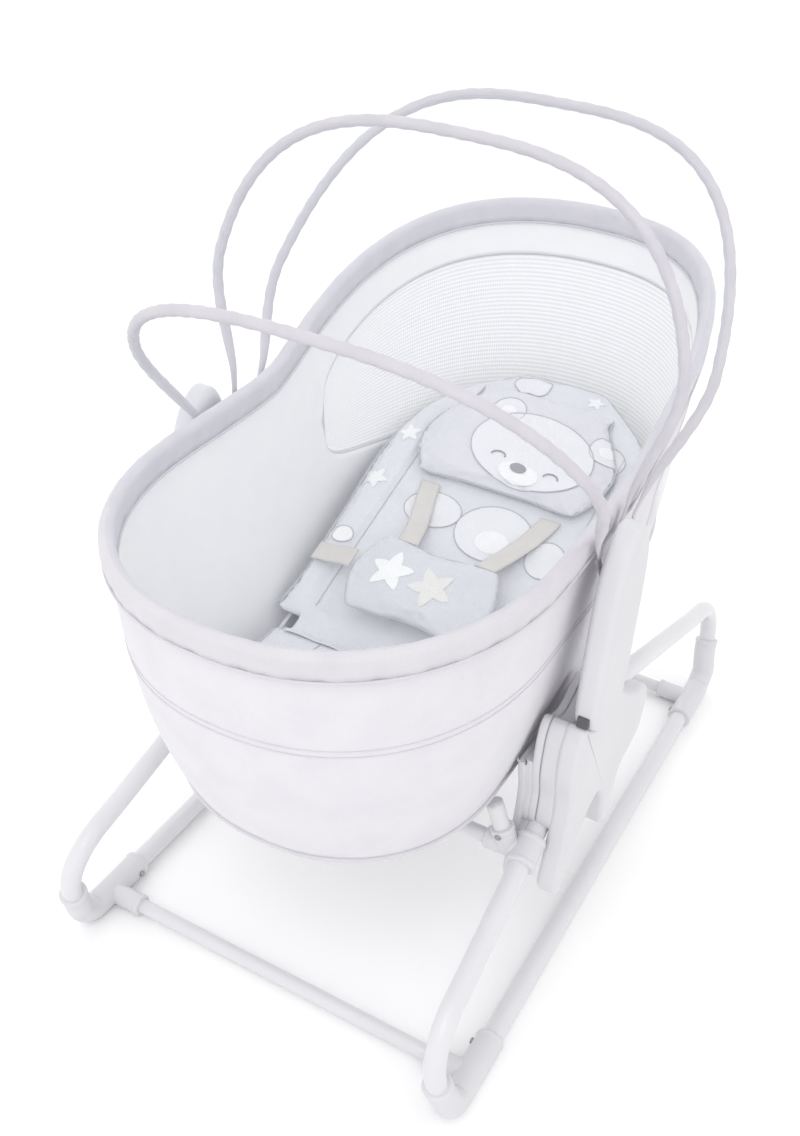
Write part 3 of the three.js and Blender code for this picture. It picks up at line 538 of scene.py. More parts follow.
for side, x_sign in SIDES.items():
    face = plate(pod_line, x_sign * POD_INNER, x_sign * POD_OUTER, POD_ROUND, POD_CROWN)
    shell = mesh_object(f"pod_shell_{side}", [face], white_plastic)
    low, high, middle = extent(f"basket_post_{side}")
    drop = Vector((0, 0, SLOT_DROP))
    bpy.ops.mesh.primitive_cube_add(size=1, location=middle - drop / 2)
    slot = bpy.context.object
    slot.scale = (high - low) + 2 * Vector(POST_GAP) + drop
    cut = shell.modifiers.new("post_slot", "BOOLEAN")
    cut.operation, cut.solver, cut.object = "DIFFERENCE", "EXACT", slot
    applied(shell)
    bpy.data.objects.remove(slot)
    belong(shell, "basket", "white_plastic", f"side_pod_{side}")
    low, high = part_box(f"latch_button_{side}")
    key_line = closed_line(
        np.array(
            [
                (low.y - 0.0035, low.z + 0.003), (low.y - 0.0035, high.z - 0.003),
                (low.y - 0.001, high.z), (high.y - 0.001, high.z),
                (high.y, high.z - 0.002), (high.y, low.z + 0.002),
                (high.y - 0.001, low.z), (low.y - 0.001, low.z),
            ]
        ),
        40,
    )
    near, far = (low.x, high.x) if side == "left" else (high.x, low.x)
    key = mesh_object(f"release_key_{side}", [plate(key_line, near, far, KEY_EDGE)], latch_grey)
    belong(key, f"latch_button_{side}", "grey_plastic", f"latch_button_{side}")
    finished(cad[f"basket_post_{side}"], latch_grey)
    low, high, middle = extent(f"bow_pivot_pin_{side}")
    inside_last = sorted((low.x, high.x), key=abs, reverse=True)
    ends = [(x, middle.y, middle.z) for x in inside_last]
    pin = mesh_object(f"pivot_rivet_{side}", [dome(*ends, PIN)], zinc)
    belong(pin, "basket", "steel", f"bow_pivot_pin_{side}")

# ---- Basket: a lined fabric tub over thin foam, sewn from a wall and a stiff floor ----
# The wall is pale grey woven polyester outside and a whiter lining inside. Its rim rises
# into a hood at the head end, where a window of knitted mesh is let in.
FLOOR_Z, RIM_Z, WALL = 0.255, 0.545, 0.004
HALF, FOOT, HEAD, FOOT_CENTRE, HEAD_CENTRE, SQUARE = 0.207, -0.450, 0.355, -0.200, 0.030, 2.2
HOOD_RISE, HOOD_RUN, HOOD_START, HOOD_EASE = 0.112, 0.400, -0.040, 0.025


def signed_power(value, exponent):
    """The power of a number's size, with the number's own sign."""
    return np.sign(value) * np.abs(value) ** exponent


def outline(z, s, inset=0.0):
    """A point of the basket's plan at a height. s goes 0-1 round the foot end, 1-2 up the
    left side, 2-3 round the head end and 3-4 back. Each end is half a superellipse."""
    z, s = np.broadcast_arrays(np.asarray(z, float), np.asarray(s, float) % 4)
    deep = (RIM_Z - z) / (RIM_Z - FLOOR_Z)
    curve = np.maximum(0, deep) ** 3
    half = HALF - 0.012 * deep - 0.030 * curve - inset
    foot = FOOT + 0.034 * deep + 0.038 * curve + inset
    head = HEAD - 0.014 * deep - 0.030 * curve - inset
    quarter, u = np.floor(s).astype(int), s - np.floor(s)
    across = half * signed_power(np.cos(math.pi * u), 2 / SQUARE)
    along = np.abs(np.sin(math.pi * u)) ** (2 / SQUARE)
    straight = FOOT_CENTRE + (HEAD_CENTRE - FOOT_CENTRE) * u
    x = np.choose(quarter, [-across, half, across, -half])
    y = np.choose(
        quarter,
        [
            FOOT_CENTRE + (foot - FOOT_CENTRE) * along,
            straight,
            HEAD_CENTRE + (head - HEAD_CENTRE) * along,
            FOOT_CENTRE + HEAD_CENTRE - straight,
        ],
    )
    return np.stack([x, y + MIDDLE, z], -1)


def rim_z(s):
    """Height of the rim: level along the foot end, then easing up along a parabola into the
    hood. The plan changes with height, so height and plan are settled in six rounds."""
    z = np.full(np.shape(s), RIM_Z)
    for _ in range(6):
        distance = outline(z, s)[..., 1] - MIDDLE - HOOD_START
        eased = (np.sqrt(distance**2 + HOOD_EASE**2) + distance) / 2
        z = RIM_Z + HOOD_RISE * (1 - (1 - np.minimum(1, eased / HOOD_RUN)) ** 2)
    return z


def even_round(count):
    """Values of s an equal distance apart round the rim."""
    s = np.linspace(0, 4, 4001)
    line = outline(rim_z(s), s)
    run = np.concatenate([[0], np.cumsum(np.linalg.norm(np.diff(line, axis=0), axis=1))])
    return np.interp(np.linspace(0, run[-1], count + 1)[:-1], run, s)


def woven(name, light, dark, thread, bump, rib=1.0):
    """Woven cloth: threads both ways at a spacing in metres on the piece's own UV, a soft
    colour cloud, and painted shade that makes the valleys between threads a little darker."""
    made, tree, _ = new_material(name, Roughness=0.85, Sheen_Weight=0.25, Sheen_Roughness=0.5)
    where = add_node(tree, "ShaderNodeUVMap", {}, uv_map="UVMap")
    weft, warp = (
        add_node(
            tree,
            "ShaderNodeTexWave",
            {
                "Vector": (where, "UV"),
                "Scale": math.pi / (10 * spacing),
                "Distortion": 0.6,
                "Detail": 1.0,
                "Detail Scale": 3.0,
            },
            bands_direction=direction,
        )
        for direction, spacing in (("X", thread), ("Y", thread * rib))
    )
    cross = add_node(tree, "ShaderNodeMath", {0: (weft, "Fac"), 1: (warp, "Fac")}, operation="MULTIPLY")
    cloud = add_node(tree, "ShaderNodeTexNoise", {"Vector": (where, "UV"), "Scale": 26.0})
    # The cloud is the cloth's own uneven tone; scaling it by the threads paints shade into the valleys
    # between them.
    shade = add_node(
        tree,
        "ShaderNodeMath",
        {0: (cross, "Value"), 1: (cloud, "Fac"), 2: (cloud, "Fac")},
        operation="MULTIPLY_ADD",
    )
    coat(tree, (shade, "Value"), dark, light, (cross, "Value"), bump, 0.0006)
    return made


basket_cloth = woven("pale_mauve_polyester", "#dfdde2", "#d5d3d9", 0.0016, 0.25)
lining_cloth = woven("white_cotton_lining", "#ffffff", "#fafafb", 0.0018, 0.2)
piping_cloth = woven("grey_piping_tape", "#d8d5db", "#cac7ce", 0.0012, 0.3)
COLUMNS, TOP_TUCK, CLOTH = 240, 0.008, 0.0016
s_round = even_round(COLUMNS)
wall_top = rim_z(s_round) - TOP_TUCK

# The window is a strip of the wall round the head end whose ends round off. Where there is
# no window, its two edges meet on one line, so the lower and upper wall are one surface.
WINDOW_FROM, WINDOW_TO, WINDOW_LOW, WINDOW_BELOW = 2.015, 2.985, 0.378, 0.060


def window_edges(s):
    """Heights of the window's lower and upper edge, a superellipse of power 5 along s."""
    top = rim_z(s) - WINDOW_BELOW
    share = np.clip(np.abs(2 * (s - WINDOW_FROM) / (WINDOW_TO - WINDOW_FROM) - 1), 0, 1)
    half = (top - WINDOW_LOW) / 2 * (1 - share**5) ** 0.2
    middle = (top + WINDOW_LOW) / 2
    return middle - half, middle + half


low_edge, high_edge = window_edges(s_round)


def wall_grid(inset):
    """The wall's surface in two strips, below and above the window."""
    grids = []
    for bottom, top, count in ((np.full(COLUMNS, FLOOR_Z), low_edge, 22), (high_edge, wall_top, 12)):
        v = np.linspace(0, 1, count)[:, None]
        z = bottom + (top - bottom) * v
        grids.append((outline(z, s_round[None], inset), False, True, False))
    return grids


outer_wall = mesh_object("tub_outer_cloth", wall_grid(0.0), basket_cloth)
inner_wall = mesh_object("tub_lining", wall_grid(WALL), lining_cloth)
for piece in (outer_wall, inner_wall):
    thick = piece.modifiers.new("cloth_thickness", "SOLIDIFY")
    thick.thickness, thick.offset = CLOTH, -1.0
    belong(piece, "basket", "basket_fabric", "basket_wall")

# Seams: piping round the floor, a double row of stitching round the wall, and a bound edge
# round the window.
UP = (0, 0, 1)
PIPING, STITCH, BOUND_EDGE = 0.0026, 0.0006, 0.0032
SEAM_Z, SEAM_APART = 0.440, 0.0075
thread_cloth = woven("grey_seam_thread", "#dad8de", "#cfccd3", 0.0008, 0.3)
line = outline(FLOOR_Z + 0.001, s_round, -0.0008)
piping = round_rod("floor_piping", line, UP, PIPING, piping_cloth, True, 10)
belong(piping, "basket", "basket_fabric")
seam_s = s_round[(s_round > 3.05) | (s_round < 1.95)]
seam_s = np.sort(np.where(seam_s > 3, seam_s - 4, seam_s))
for row in (0, 1):
    for face, inset in (("outer", -0.0003), ("inner", WALL + 0.0003)):
        line = outline(SEAM_Z - SEAM_APART * row, seam_s, inset)
        name = f"seam_row_{row}_{face}"
        stitches = round_rod(name, line, UP, STITCH, thread_cloth, False, 6)
        belong(stitches, "basket", "basket_fabric")
# The window's columns crowd towards its rounded ends.
crowded = (1 - np.cos(np.linspace(0, math.pi, 120))) / 2
window_s = WINDOW_FROM + (WINDOW_TO - WINDOW_FROM) * crowded
edge_low, edge_high = window_edges(window_s)
ring_s = np.concatenate([window_s, window_s[::-1]])
ring_z = np.concatenate([edge_low, edge_high[::-1]])
bound = smooth_line(outline(ring_z, ring_s, WALL / 2), 400)[:-1]
window_trim = round_rod("window_binding", bound, (0.001, 0.002, 1), BOUND_EDGE, piping_cloth, True, 10)
belong(window_trim, "basket", "binding_fabric")

# Knitted mesh: close horizontal courses of white yarn with the light showing between.
knit, knit_tree, _ = new_material("white_knitted_mesh", Roughness=0.8, Alpha=0.72, Sheen_Weight=0.2)
knit_uv = add_node(knit_tree, "ShaderNodeUVMap", {}, uv_map="UVMap")
courses, wales = (
    add_node(
        knit_tree,
        "ShaderNodeTexWave",
        {"Vector": (knit_uv, "UV"), "Scale": math.pi / (10 * spacing), "Distortion": 0.3},
        bands_direction=direction,
    )
    for direction, spacing in (("Y", 0.0042), ("X", 0.003))
)
knit_height = add_node(
    knit_tree, "ShaderNodeMath", {0: (courses, "Fac"), 1: (wales, "Fac")}, operation="ADD"
)
coat(knit_tree, (courses, "Fac"), "#e4e4e8", "#fcfcfc", (knit_height, "Value"), 0.3, 0.0008)
v = np.linspace(0, 1, 14)[:, None]
window_grid = outline(edge_low + (edge_high - edge_low) * v, window_s[None], 0.002)
window = mesh_object("window_mesh", [(window_grid, False, False, False)], knit)
belong(window, "basket", "mesh_fabric", "mesh_window")

# The floor is a stiff board in a fabric sleeve, rounded over at its edge.
edge_turn = np.linspace(-math.pi / 2, math.pi / 2, 9)
board_rows = [(0.08, -0.0077), (0.02, -0.0077)]
board_rows += [(0.004 - 0.0035 * math.cos(a), -0.004 + 0.0037 * math.sin(a)) for a in edge_turn]
board_rows += [(0.02, -0.0003), (0.08, -0.0003)]
board = np.stack([outline(FLOOR_Z, s_round, inset) + [0, 0, rise] for inset, rise in board_rows])
floor_board = mesh_object("floor_board_sleeve", [(board, False, True, True)], basket_cloth)
belong(floor_board, "basket", "basket_fabric", "basket_floor_board")

# ---- Rim: a steel wire loop wrapped in a wide sewn binding ----
# The binding is folded over the wire and stitched down on both faces of the wall, with a
# corded lower edge. It puckers slightly between stitches.
binding_cloth = woven("mauve_grey_binding", "#d8d5da", "#cac7ce", 0.0016, 0.3)
RIM_COLUMNS = 480
s_rim = even_round(RIM_COLUMNS)


def rim_grid(section):
    """A section, as distances outwards and up, carried round the rim on the wall's middle."""
    z = rim_z(s_rim)
    outward = outline(z, s_rim, -0.010) - outline(z, s_rim)
    outward /= np.linalg.norm(outward, axis=1)[:, None]
    rings = [
        outline(z + up, s_rim, WALL / 2) + outward * np.reshape(out, (-1, 1))
        for out, up in section
    ]
    return np.stack(rings, 1)


crown = np.linspace(0, math.pi, 13)
pucker = 0.0004 * np.sin(np.arange(RIM_COLUMNS) * 2 * math.pi * 40 / RIM_COLUMNS)
pucker += 0.0003 * np.sin(np.arange(RIM_COLUMNS) * 2 * math.pi * 97 / RIM_COLUMNS + 1)
section = [(0.0062 + pucker, -0.021), (0.0070 + pucker, -0.012), (0.0073 + pucker, -0.005)]
section += [(0.0073 * math.cos(a) + 0.5 * pucker, 0.0070 * math.sin(a)) for a in crown]
section += [(-0.0073 - pucker, -0.005), (-0.0070 - pucker, -0.012), (-0.0062 - pucker, -0.021)]
binding = mesh_object("rim_tape", [(rim_grid(section), True, True, False)], binding_cloth)
belong(binding, "basket", "binding_fabric", "rim_binding", "rim_frame")
for face, out in (("outer", 0.0066), ("inner", -0.0066)):
    line = rim_grid([(out, -0.0205)])[:, 0]
    cord_edge = round_rod(f"rim_cord_{face}", line, UP, 0.0014, piping_cloth, True, 10)
    belong(cord_edge, "basket", "binding_fabric")

# ---- Net canopy: three sprung wire bows in fabric sleeves, with sheer net between ----
# The bows share one pivot on each side. The net is a fine knit that shows as a faint
# white veil. It is sewn to each sleeve and to the rim at the head end. The foot net turns
# with the front bow, and only rests on the rim.
PIVOT = np.array([0.0, -0.105 + MIDDLE, 0.470])
BOWS = {
    "rear": (51.2, 0.450, 0.251, 3.0, 0.2200),
    "middle": (82.7, 0.376, 0.255, 2.9, 0.2171),
    "front": (126.5, 0.340, 0.246, 2.7, 0.2142),
}  # angle from the head, reach, half-width, squareness, and place on the pin
LEG_X, LEG_START, LEG_WIDEN = 0.2171, 0.072, 0.150


def bow_way(bow):
    """The direction from the pivot to a bow's crown."""
    angle = math.radians(BOWS[bow][0])
    return np.array([0, math.cos(angle), math.sin(angle)])


def bow_line(bow, t):
    """A bow's centre line in its own plane: half a superellipse, t = 0 at the left foot,
    drawn in to a straight leg near the pivot."""
    _, reach, half, squareness, _ = BOWS[bow]
    way = bow_way(bow)
    rise = LEG_START + (reach - LEG_START) * np.abs(np.sin(math.pi * t)) ** (2 / squareness)
    u = np.clip((rise - LEG_START) / LEG_WIDEN, 0, 1)
    spread = LEG_X + (half - LEG_X) * u * u * (3 - 2 * u)
    x = spread * signed_power(np.cos(math.pi * t), 2 / squareness)
    return PIVOT + np.stack([x, 0 * x, 0 * x], 1) + rise[:, None] * way


sleeve_cloth = woven("mauve_grey_bow_sleeve", "#d0cdd3", "#c1bec6", 0.0012, 0.35)
SLEEVE_ROUND, SLEEVE_WRINKLE, TAB_THICK, TAB_WIDE = 0.0054, 0.0003, 0.0013, 0.0043
TAB_END, TAB_EASE, WRINKLE_START, SLEEVE_ROWS = 0.084, 0.050, 0.140, 400
leg = np.array([0.0, 0.02, 0.04, 0.055, 0.066])[:, None]
for bow, (*_, pin_x) in BOWS.items():
    # The sleeve is round along the hoop, and flattens to a thin tab at each pivot pin.
    way = bow_way(bow)
    hoop = bow_line(bow, np.linspace(0, 1, 101))
    legs = [PIVOT + np.array([sign * pin_x, 0, 0]) + leg * way for sign in (1, -1)]
    line = smooth_line(np.vstack([legs[0], hoop, legs[1][::-1]]), SLEEVE_ROWS)
    height = (line - PIVOT) @ way
    wrinkle = np.sin(np.arange(SLEEVE_ROWS) * 0.9) * (height > WRINKLE_START)
    sewn = SLEEVE_ROUND + SLEEVE_WRINKLE * wrinkle
    flat_u = np.clip((height - TAB_END) / TAB_EASE, 0, 1)
    narrow = TAB_THICK + (sewn - TAB_THICK) * flat_u
    wide = TAB_WIDE + (sewn - TAB_WIDE) * flat_u
    circle = disc(1.0, 16)
    plane = np.cross((1.0, 0, 0), way)
    shape = circle[None] * np.stack([wide, narrow], 1)[:, None]
    hoop_piece = mesh_object(
        f"bow_sleeve_{bow}", [(carried(line, plane, shape), False, True, True)], sleeve_cloth
    )
    belong(hoop_piece, f"bow_{bow}", "binding_fabric", f"bow_{bow}")

net_knit, net_tree, _ = new_material(
    "sheer_white_net", Roughness=0.7, Alpha=0.13, Specular_IOR_Level=0.2
)
net_uv = add_node(net_tree, "ShaderNodeUVMap", {}, uv_map="UVMap")
net_cells = add_node(net_tree, "ShaderNodeTexVoronoi", {"Vector": (net_uv, "UV"), "Scale": 420.0})
coat(net_tree, (net_cells, "Distance"), "#d8e0ec", "#ccd6e4")
NET_T = np.linspace(0.09, 0.91, 80)


def net_grid(edge_a, edge_b, sag):
    """A net between two edges, drawn in towards the pivot by sag at its middle line."""
    v = np.linspace(0, 1, 16)[:, None, None]
    points = edge_a[None] + (edge_b - edge_a)[None] * v
    inwards = PIVOT * [0, 1, 1] - points * [0, 1, 1]
    inwards /= np.linalg.norm(inwards, axis=2, keepdims=True)
    return points + inwards * sag * np.sin(math.pi * v)


def rim_edge(s):
    """A line along the top of the rim's binding."""
    return outline(rim_z(s) + RIM_TOP, s, WALL / 2)


RIM_TOP = 0.0075
hoop_edge = {bow: bow_line(bow, NET_T) for bow in BOWS}
NETS = {
    "rear": (hoop_edge["rear"], rim_edge(2.5 + 1.1 * (NET_T - 0.5)), 0.010),
    "middle": (hoop_edge["middle"], hoop_edge["rear"], 0.016),
    "front": (hoop_edge["front"], hoop_edge["middle"], 0.016),
    "foot": (rim_edge((5 - NET_T) % 4), hoop_edge["front"], 0.012),
}  # each net's two edges and its sag
for name, (edge_a, edge_b, sag) in NETS.items():
    grid = net_grid(edge_a, edge_b, sag)
    net = mesh_object(f"net_veil_{name}", [(grid, False, False, False)], net_knit)
    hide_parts(f"net_{name}")
    # Each cell's face is worked out from its two edges; nothing uses it.
    face = np.cross(np.diff(grid[:-1], axis=1), np.diff(grid[:, :-1], axis=0))


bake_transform(bpy.data.objects["net_veil_rear"])
for name, bow_a, bow_b in (("middle", "rear", "middle"), ("front", "middle", "front")):
    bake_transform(bpy.data.objects[f"net_veil_{name}"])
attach(bpy.data.objects["net_veil_foot"], "bow_front")

# ---- Rocker seat: a padded, printed cover on two hinged tube frames ----
# The cover is soft cotton over wadding, quilted across the seat. The back has a loose head
# pillow, and a five-point harness holds a padded front panel.
for node in ("back_frame", "seat_frame"):
    finished(cad[node], powder_coat)


def padding_cloth(name, light, dark, spacing):
    """Cotton over wadding: fine threads at a spacing in metres and a broad soft crumple, which
    also shades it between a light and a dark colour."""
    made, tree, _ = new_material(name, Roughness=0.9, Sheen_Weight=0.3, Sheen_Roughness=0.5)
    where = add_node(tree, "ShaderNodeTexCoord", {})
    threads = add_node(
        tree,
        "ShaderNodeTexWave",
        {"Vector": (where, "Object"), "Scale": math.pi / (10 * spacing), "Distortion": 1.0},
        bands_direction="DIAGONAL",
    )
    crumple = add_node(
        tree, "ShaderNodeTexNoise", {"Vector": (where, "Object"), "Scale": 30.0, "Detail": 3.0}
    )
    heights = add_node(
        tree,
        "ShaderNodeMath",
        {0: (crumple, "Fac"), 1: 6.0, 2: (threads, "Fac")},
        operation="MULTIPLY_ADD",
    )
    coat(tree, (crumple, "Fac"), light, dark, (heights, "Value"), 0.35, 0.0006)
    return made


seat_cotton = padding_cloth("pale_grey_printed_cotton", "#ecedf0", "#e1e2e7", 0.0015)
pillow_cotton = padding_cloth("pillow_grey_cotton", "#eaeaed", "#dfdfe4", 0.0015)
panel_cotton = padding_cloth("harness_panel_cotton", "#e2e2e6", "#d6d7dc", 0.0015)


def stuffed(name, node, material, cap, pinned=None, voxel=0.005, shrink=0.002):
    """A cushion blown up from a CAD pad: remeshed, inflated as cloth with seams pinned where
    pinned(points) is true, and no point moved further than cap."""
    mesh = cad[node].data.copy()
    mesh.name = name
    made = bpy.data.objects.new(name, mesh)
    bpy.context.scene.collection.objects.link(made)
    mesh.materials.clear()
    shell = bmesh.new()
    shell.from_mesh(mesh)
    bmesh.ops.remove_doubles(shell, verts=shell.verts, dist=1e-5)
    shell.to_mesh(mesh)
    shell.free()
    remesh = made.modifiers.new("remesh", "REMESH")
    remesh.mode, remesh.voxel_size = "VOXEL", voxel
    ease = made.modifiers.new("ease", "SMOOTH")
    ease.factor, ease.iterations = 0.5, 4
    applied(made)
    points = np.zeros(len(made.data.vertices) * 3, np.float32)
    normals = np.zeros_like(points)
    made.data.vertices.foreach_get("co", points)
    made.data.vertex_normals.foreach_get("vector", normals)
    start = points.reshape(-1, 3) - shrink * normals.reshape(-1, 3)
    made.data.vertices.foreach_set("co", start.astype(np.float32).ravel())
    cloth = made.modifiers.new("cloth", "CLOTH")
    cloth.settings.quality = 4
    cloth.settings.mass = 0.3
    cloth.settings.use_pressure = True
    cloth.settings.uniform_pressure_force = 4.0
    cloth.settings.effector_weights.gravity = 0.0
    if pinned is not None:
        group = made.vertex_groups.new(name="pinned")
        group.add(np.nonzero(pinned(start))[0].tolist(), 1.0, "REPLACE")
        cloth.settings.vertex_group_mass = "pinned"
    for step in range(1, 21):
        bpy.context.scene.frame_set(step)
    applied(made)
    moved = np.zeros(len(made.data.vertices) * 3, np.float32)
    made.data.vertices.foreach_get("co", moved)
    step = moved.reshape(-1, 3) - start
    far = np.linalg.norm(step, axis=1, keepdims=True)
    end = start + step * np.minimum(1, cap / np.maximum(far, 1e-9))
    made.data.vertices.foreach_set("co", end.astype(np.float32).ravel())
    bpy.context.scene.frame_set(1)
    fine = made.modifiers.new("finer", "SUBSURF")
    fine.levels = fine.render_levels = 1
    applied(made)
    made.data.polygons.foreach_set("use_smooth", [True] * len(made.data.polygons))
    finished(made, material)
    return made


BOLSTER, QUILT, SEAM_HALF = 0.117, 0.080, 0.004
HIP = np.array([0, -0.120 + MIDDLE, 0.298])
RECLINE, RISE = math.radians(20.5), math.radians(7)
back_way = np.array([0, math.cos(RECLINE), math.sin(RECLINE)])
back_up = np.array([0, -math.sin(RECLINE), math.cos(RECLINE)])
seat_way = np.array([0, -math.cos(RISE), math.sin(RISE)])


def pad_place(points, way):
    """How far across and how far along a pad each point lies."""
    return points[:, 0], (points - HIP) @ way


def back_seams(points):
    """True on the two long seams that part the back's side bolsters from its middle."""
    x, d = pad_place(points, back_way)
    return (np.abs(np.abs(x) - BOLSTER) < SEAM_HALF) & (d > 0.03) & (d < 0.36)


def seat_seams(points):
    """True on the seat's two long seams and on its cross seams."""
    x, d = pad_place(points, seat_way)
    nearest = np.min([np.abs(d - place) for place in (0.075, 0.125, 0.175)], axis=0)
    cross = (nearest < SEAM_HALF) & (np.abs(x) > QUILT)
    return (np.abs(np.abs(x) - QUILT) < SEAM_HALF) | cross


back = stuffed("back_cushion", "back_pad", seat_cotton, 0.007, back_seams)
belong(back, "seat_back", "seat_fabric", "back_pad")
seat = stuffed("seat_cushion", "seat_pad", seat_cotton, 0.010, seat_seams)
belong(seat, "basket", "seat_fabric", "seat_pad")
pillow = stuffed("head_cushion", "head_pillow", pillow_cotton, 0.006, voxel=0.004, shrink=0.001)
belong(pillow, "seat_back", "seat_fabric", "head_pillow")
panel = stuffed("harness_panel", "crotch_pad", panel_cotton, 0.006, voxel=0.004)
belong(panel, "seat_back", "seat_fabric", "crotch_pad")


def surface_tree(piece):
    """The piece's faces, to lay a print or a strap on."""
    mesh = piece.data
    mesh.calc_loop_triangles()
    faces = [tuple(triangle.vertices) for triangle in mesh.loop_triangles]
    return BVHTree.FromPolygons([vertex.co.copy() for vertex in mesh.vertices], faces)


def laid_on(trees, points, way, lift):
    """Points dropped along a way onto the first surface below them, then lifted off it. One
    that meets nothing goes to the nearest place on the last surface."""
    flat = points.reshape(-1, 3)
    out = flat.copy()
    way = Vector(way)
    for k, point in enumerate(flat):
        start = Vector(point) - way * 0.08
        hits = [tree.ray_cast(start, way, 0.3) for tree in trees]
        best = min((hit[3] for hit in hits if hit[0] is not None), default=None)
        if best is not None and best < 0.16:
            out[k] = start + way * (best - lift)
        else:
            near = trees[-1].find_nearest(Vector(point) + way * 0.055)
            out[k] = near[0] + near[1] * lift
    return out.reshape(points.shape)


pillow_tree, panel_tree, back_tree, seat_tree = map(surface_tree, (pillow, panel, back, seat))
print_white = padding_cloth("white_print_ink", "#ffffff", "#f9f9fa", 0.0015)
print_cream = padding_cloth("cream_print_ink", "#f0eeea", "#e8e5e1", 0.0015)
print_grey = padding_cloth("grey_print_ink", "#a3a1a6", "#939197", 0.0015)
print_pale = padding_cloth("pale_grey_print_ink", "#f5f5f7", "#edeef1", 0.0015)
edge_thread = padding_cloth("grey_edge_thread", "#c9c7cc", "#bab8be", 0.0008)


def sewn_line(name, points, radius, thread, body, closed=False):
    """A thin thread or printed outline through points that already lie on the cloth."""
    made = round_rod(name, points, (0.0, -0.35, 0.94), radius, thread, closed, 8)
    return belong(made, body, "seat_fabric")


def patch(name, centre, radius_at, trees, colour, thick=0.0006, outline_radius=0.0):
    """A printed shape on the seat back: rings of points out to radius_at(angle) about a
    centre (across, up the back), dropped onto the pad below, with a drawn edge if asked."""
    angle = np.arange(72) * 2 * math.pi / 72
    share = np.array([0, 0.25, 0.5, 0.7, 0.85, 1.0])[:, None]
    x = centre[0] + share * radius_at(angle) * np.cos(angle)
    d = centre[1] + share * radius_at(angle) * np.sin(angle)
    points = HIP + x[..., None] * [1, 0, 0] + d[..., None] * back_way + back_up * 0.05
    top = laid_on(trees, points, -back_up, thick)
    belong(mesh_object(name, [(top, False, True, False)], colour), "seat_back", "seat_fabric")
    if outline_radius:
        rim = top[-1] + back_up * 0.0003
        sewn_line(f"{name}_edge", rim, outline_radius, edge_thread, "seat_back", True)


def star(size, turn):
    """Radius of a plump five-pointed star at an angle: a rounded zigzag, five to a turn."""

    def radius(angle):
        zigzag = np.abs(((angle - turn) * 5 / (2 * math.pi)) % 1 * 2 - 1)
        return size * (0.48 + 0.52 * zigzag**1.3)

    return radius


def cloud(size):
    """Radius of a flat cloud at an angle: an ellipse with three humps along its top."""
    return lambda angle: size * (
        0.62 + 0.38 * np.abs(np.cos(angle)) + 0.10 * np.abs(np.sin(2.5 * angle))
    )


def oval(wide, tall, turn=0.0):
    """Radius of an ellipse at an angle, turned by some radians."""
    return lambda angle: wide * tall / np.sqrt(
        (tall * np.cos(angle - turn)) ** 2 + (wide * np.sin(angle - turn)) ** 2
    )


def drawn(name, places, radius, trees, thread, lift):
    """A thin drawn line through places (across, up the back), dropped onto the pads."""
    flat = smooth_line(np.array(places), 40)
    points = HIP + flat[:, :1] * [1, 0, 0] + flat[:, 1:] * back_way + back_up * 0.05
    return sewn_line(name, laid_on(trees, points, -back_up, lift), radius, thread, "seat_back")


patch("panel_star_white", (-0.036, 0.074), star(0.027, 0.3), [panel_tree], print_white)
patch("panel_star_cream", (0.016, 0.070), star(0.027, 0.9), [panel_tree], print_cream)

# A sleepy bear of the cradle's own: a round face, two ears, closed eyes, a muzzle and nose.
# Its body is drawn on the back cushion below the pillow.
soft_trees = [pillow_tree, back_tree]
for name, x, d, size in (("right", -0.034, 0.364, 0.021), ("left", 0.101, 0.347, 0.021)):
    patch(f"bear_ear_{name}", (x, d), oval(size, size), soft_trees, print_pale, 0.0006, 0.0006)
    inner = oval(size * 0.45, size * 0.45)
    patch(f"bear_inner_ear_{name}", (x, d - 0.002), inner, soft_trees, print_white, 0.0012)
FACE_TURN = -0.15
for name, centre, wide, tall, ink, thick, line in (
    ("face", (0.020, 0.312), 0.078, 0.056, print_pale, 0.0012, 0.0006),
    ("muzzle", (0.020, 0.274), 0.026, 0.015, print_white, 0.0018, 0),
    ("nose", (0.017, 0.281), 0.0105, 0.0070, print_grey, 0.0026, 0),
):
    patch(f"bear_{name}", centre, oval(wide, tall, FACE_TURN), soft_trees, ink, thick, line)
for name, x, d in (("right", -0.014, 0.291), ("left", 0.058, 0.280)):
    arch = [(x + 0.009 * math.cos(a), d + 0.007 * math.sin(a)) for a in np.linspace(0.1, 3.0, 7)]
    drawn(f"bear_eye_{name}", arch, 0.0010, soft_trees, print_grey, 0.0020)
for name, centre, shape, ink, thick, line in (
    ("bear_body", (0.024, 0.196), oval(0.046, 0.040), print_pale, 0.0008, 0.0006),
    ("bear_paw_right", (-0.058, 0.203), oval(0.036, 0.026), print_pale, 0.0007, 0.0006),
    ("bear_paw_left", (0.094, 0.185), oval(0.022, 0.026), print_pale, 0.0007, 0.0006),
    ("bear_tummy", (0.028, 0.184), oval(0.020, 0.016), print_white, 0.0014, 0),
    ("cloud_high", (-0.032, 0.428), cloud(0.022), print_pale, 0.0007, 0.0007),
    ("moon_right", (-0.138, 0.128), oval(0.013, 0.012), print_white, 0.0007, 0.0006),
):
    patch(name, centre, shape, [back_tree], ink, thick, line)
for k, (x, d, size) in enumerate(
    ((-0.145, 0.220, 0.017), (-0.140, 0.300, 0.015), (0.145, 0.230, 0.016),
     (0.142, 0.310, 0.013), (0.052, 0.428, 0.012))
):
    patch(f"back_star_{k}", (x, d), star(size, 0.7 * k), [back_tree], print_white, 0.0008)


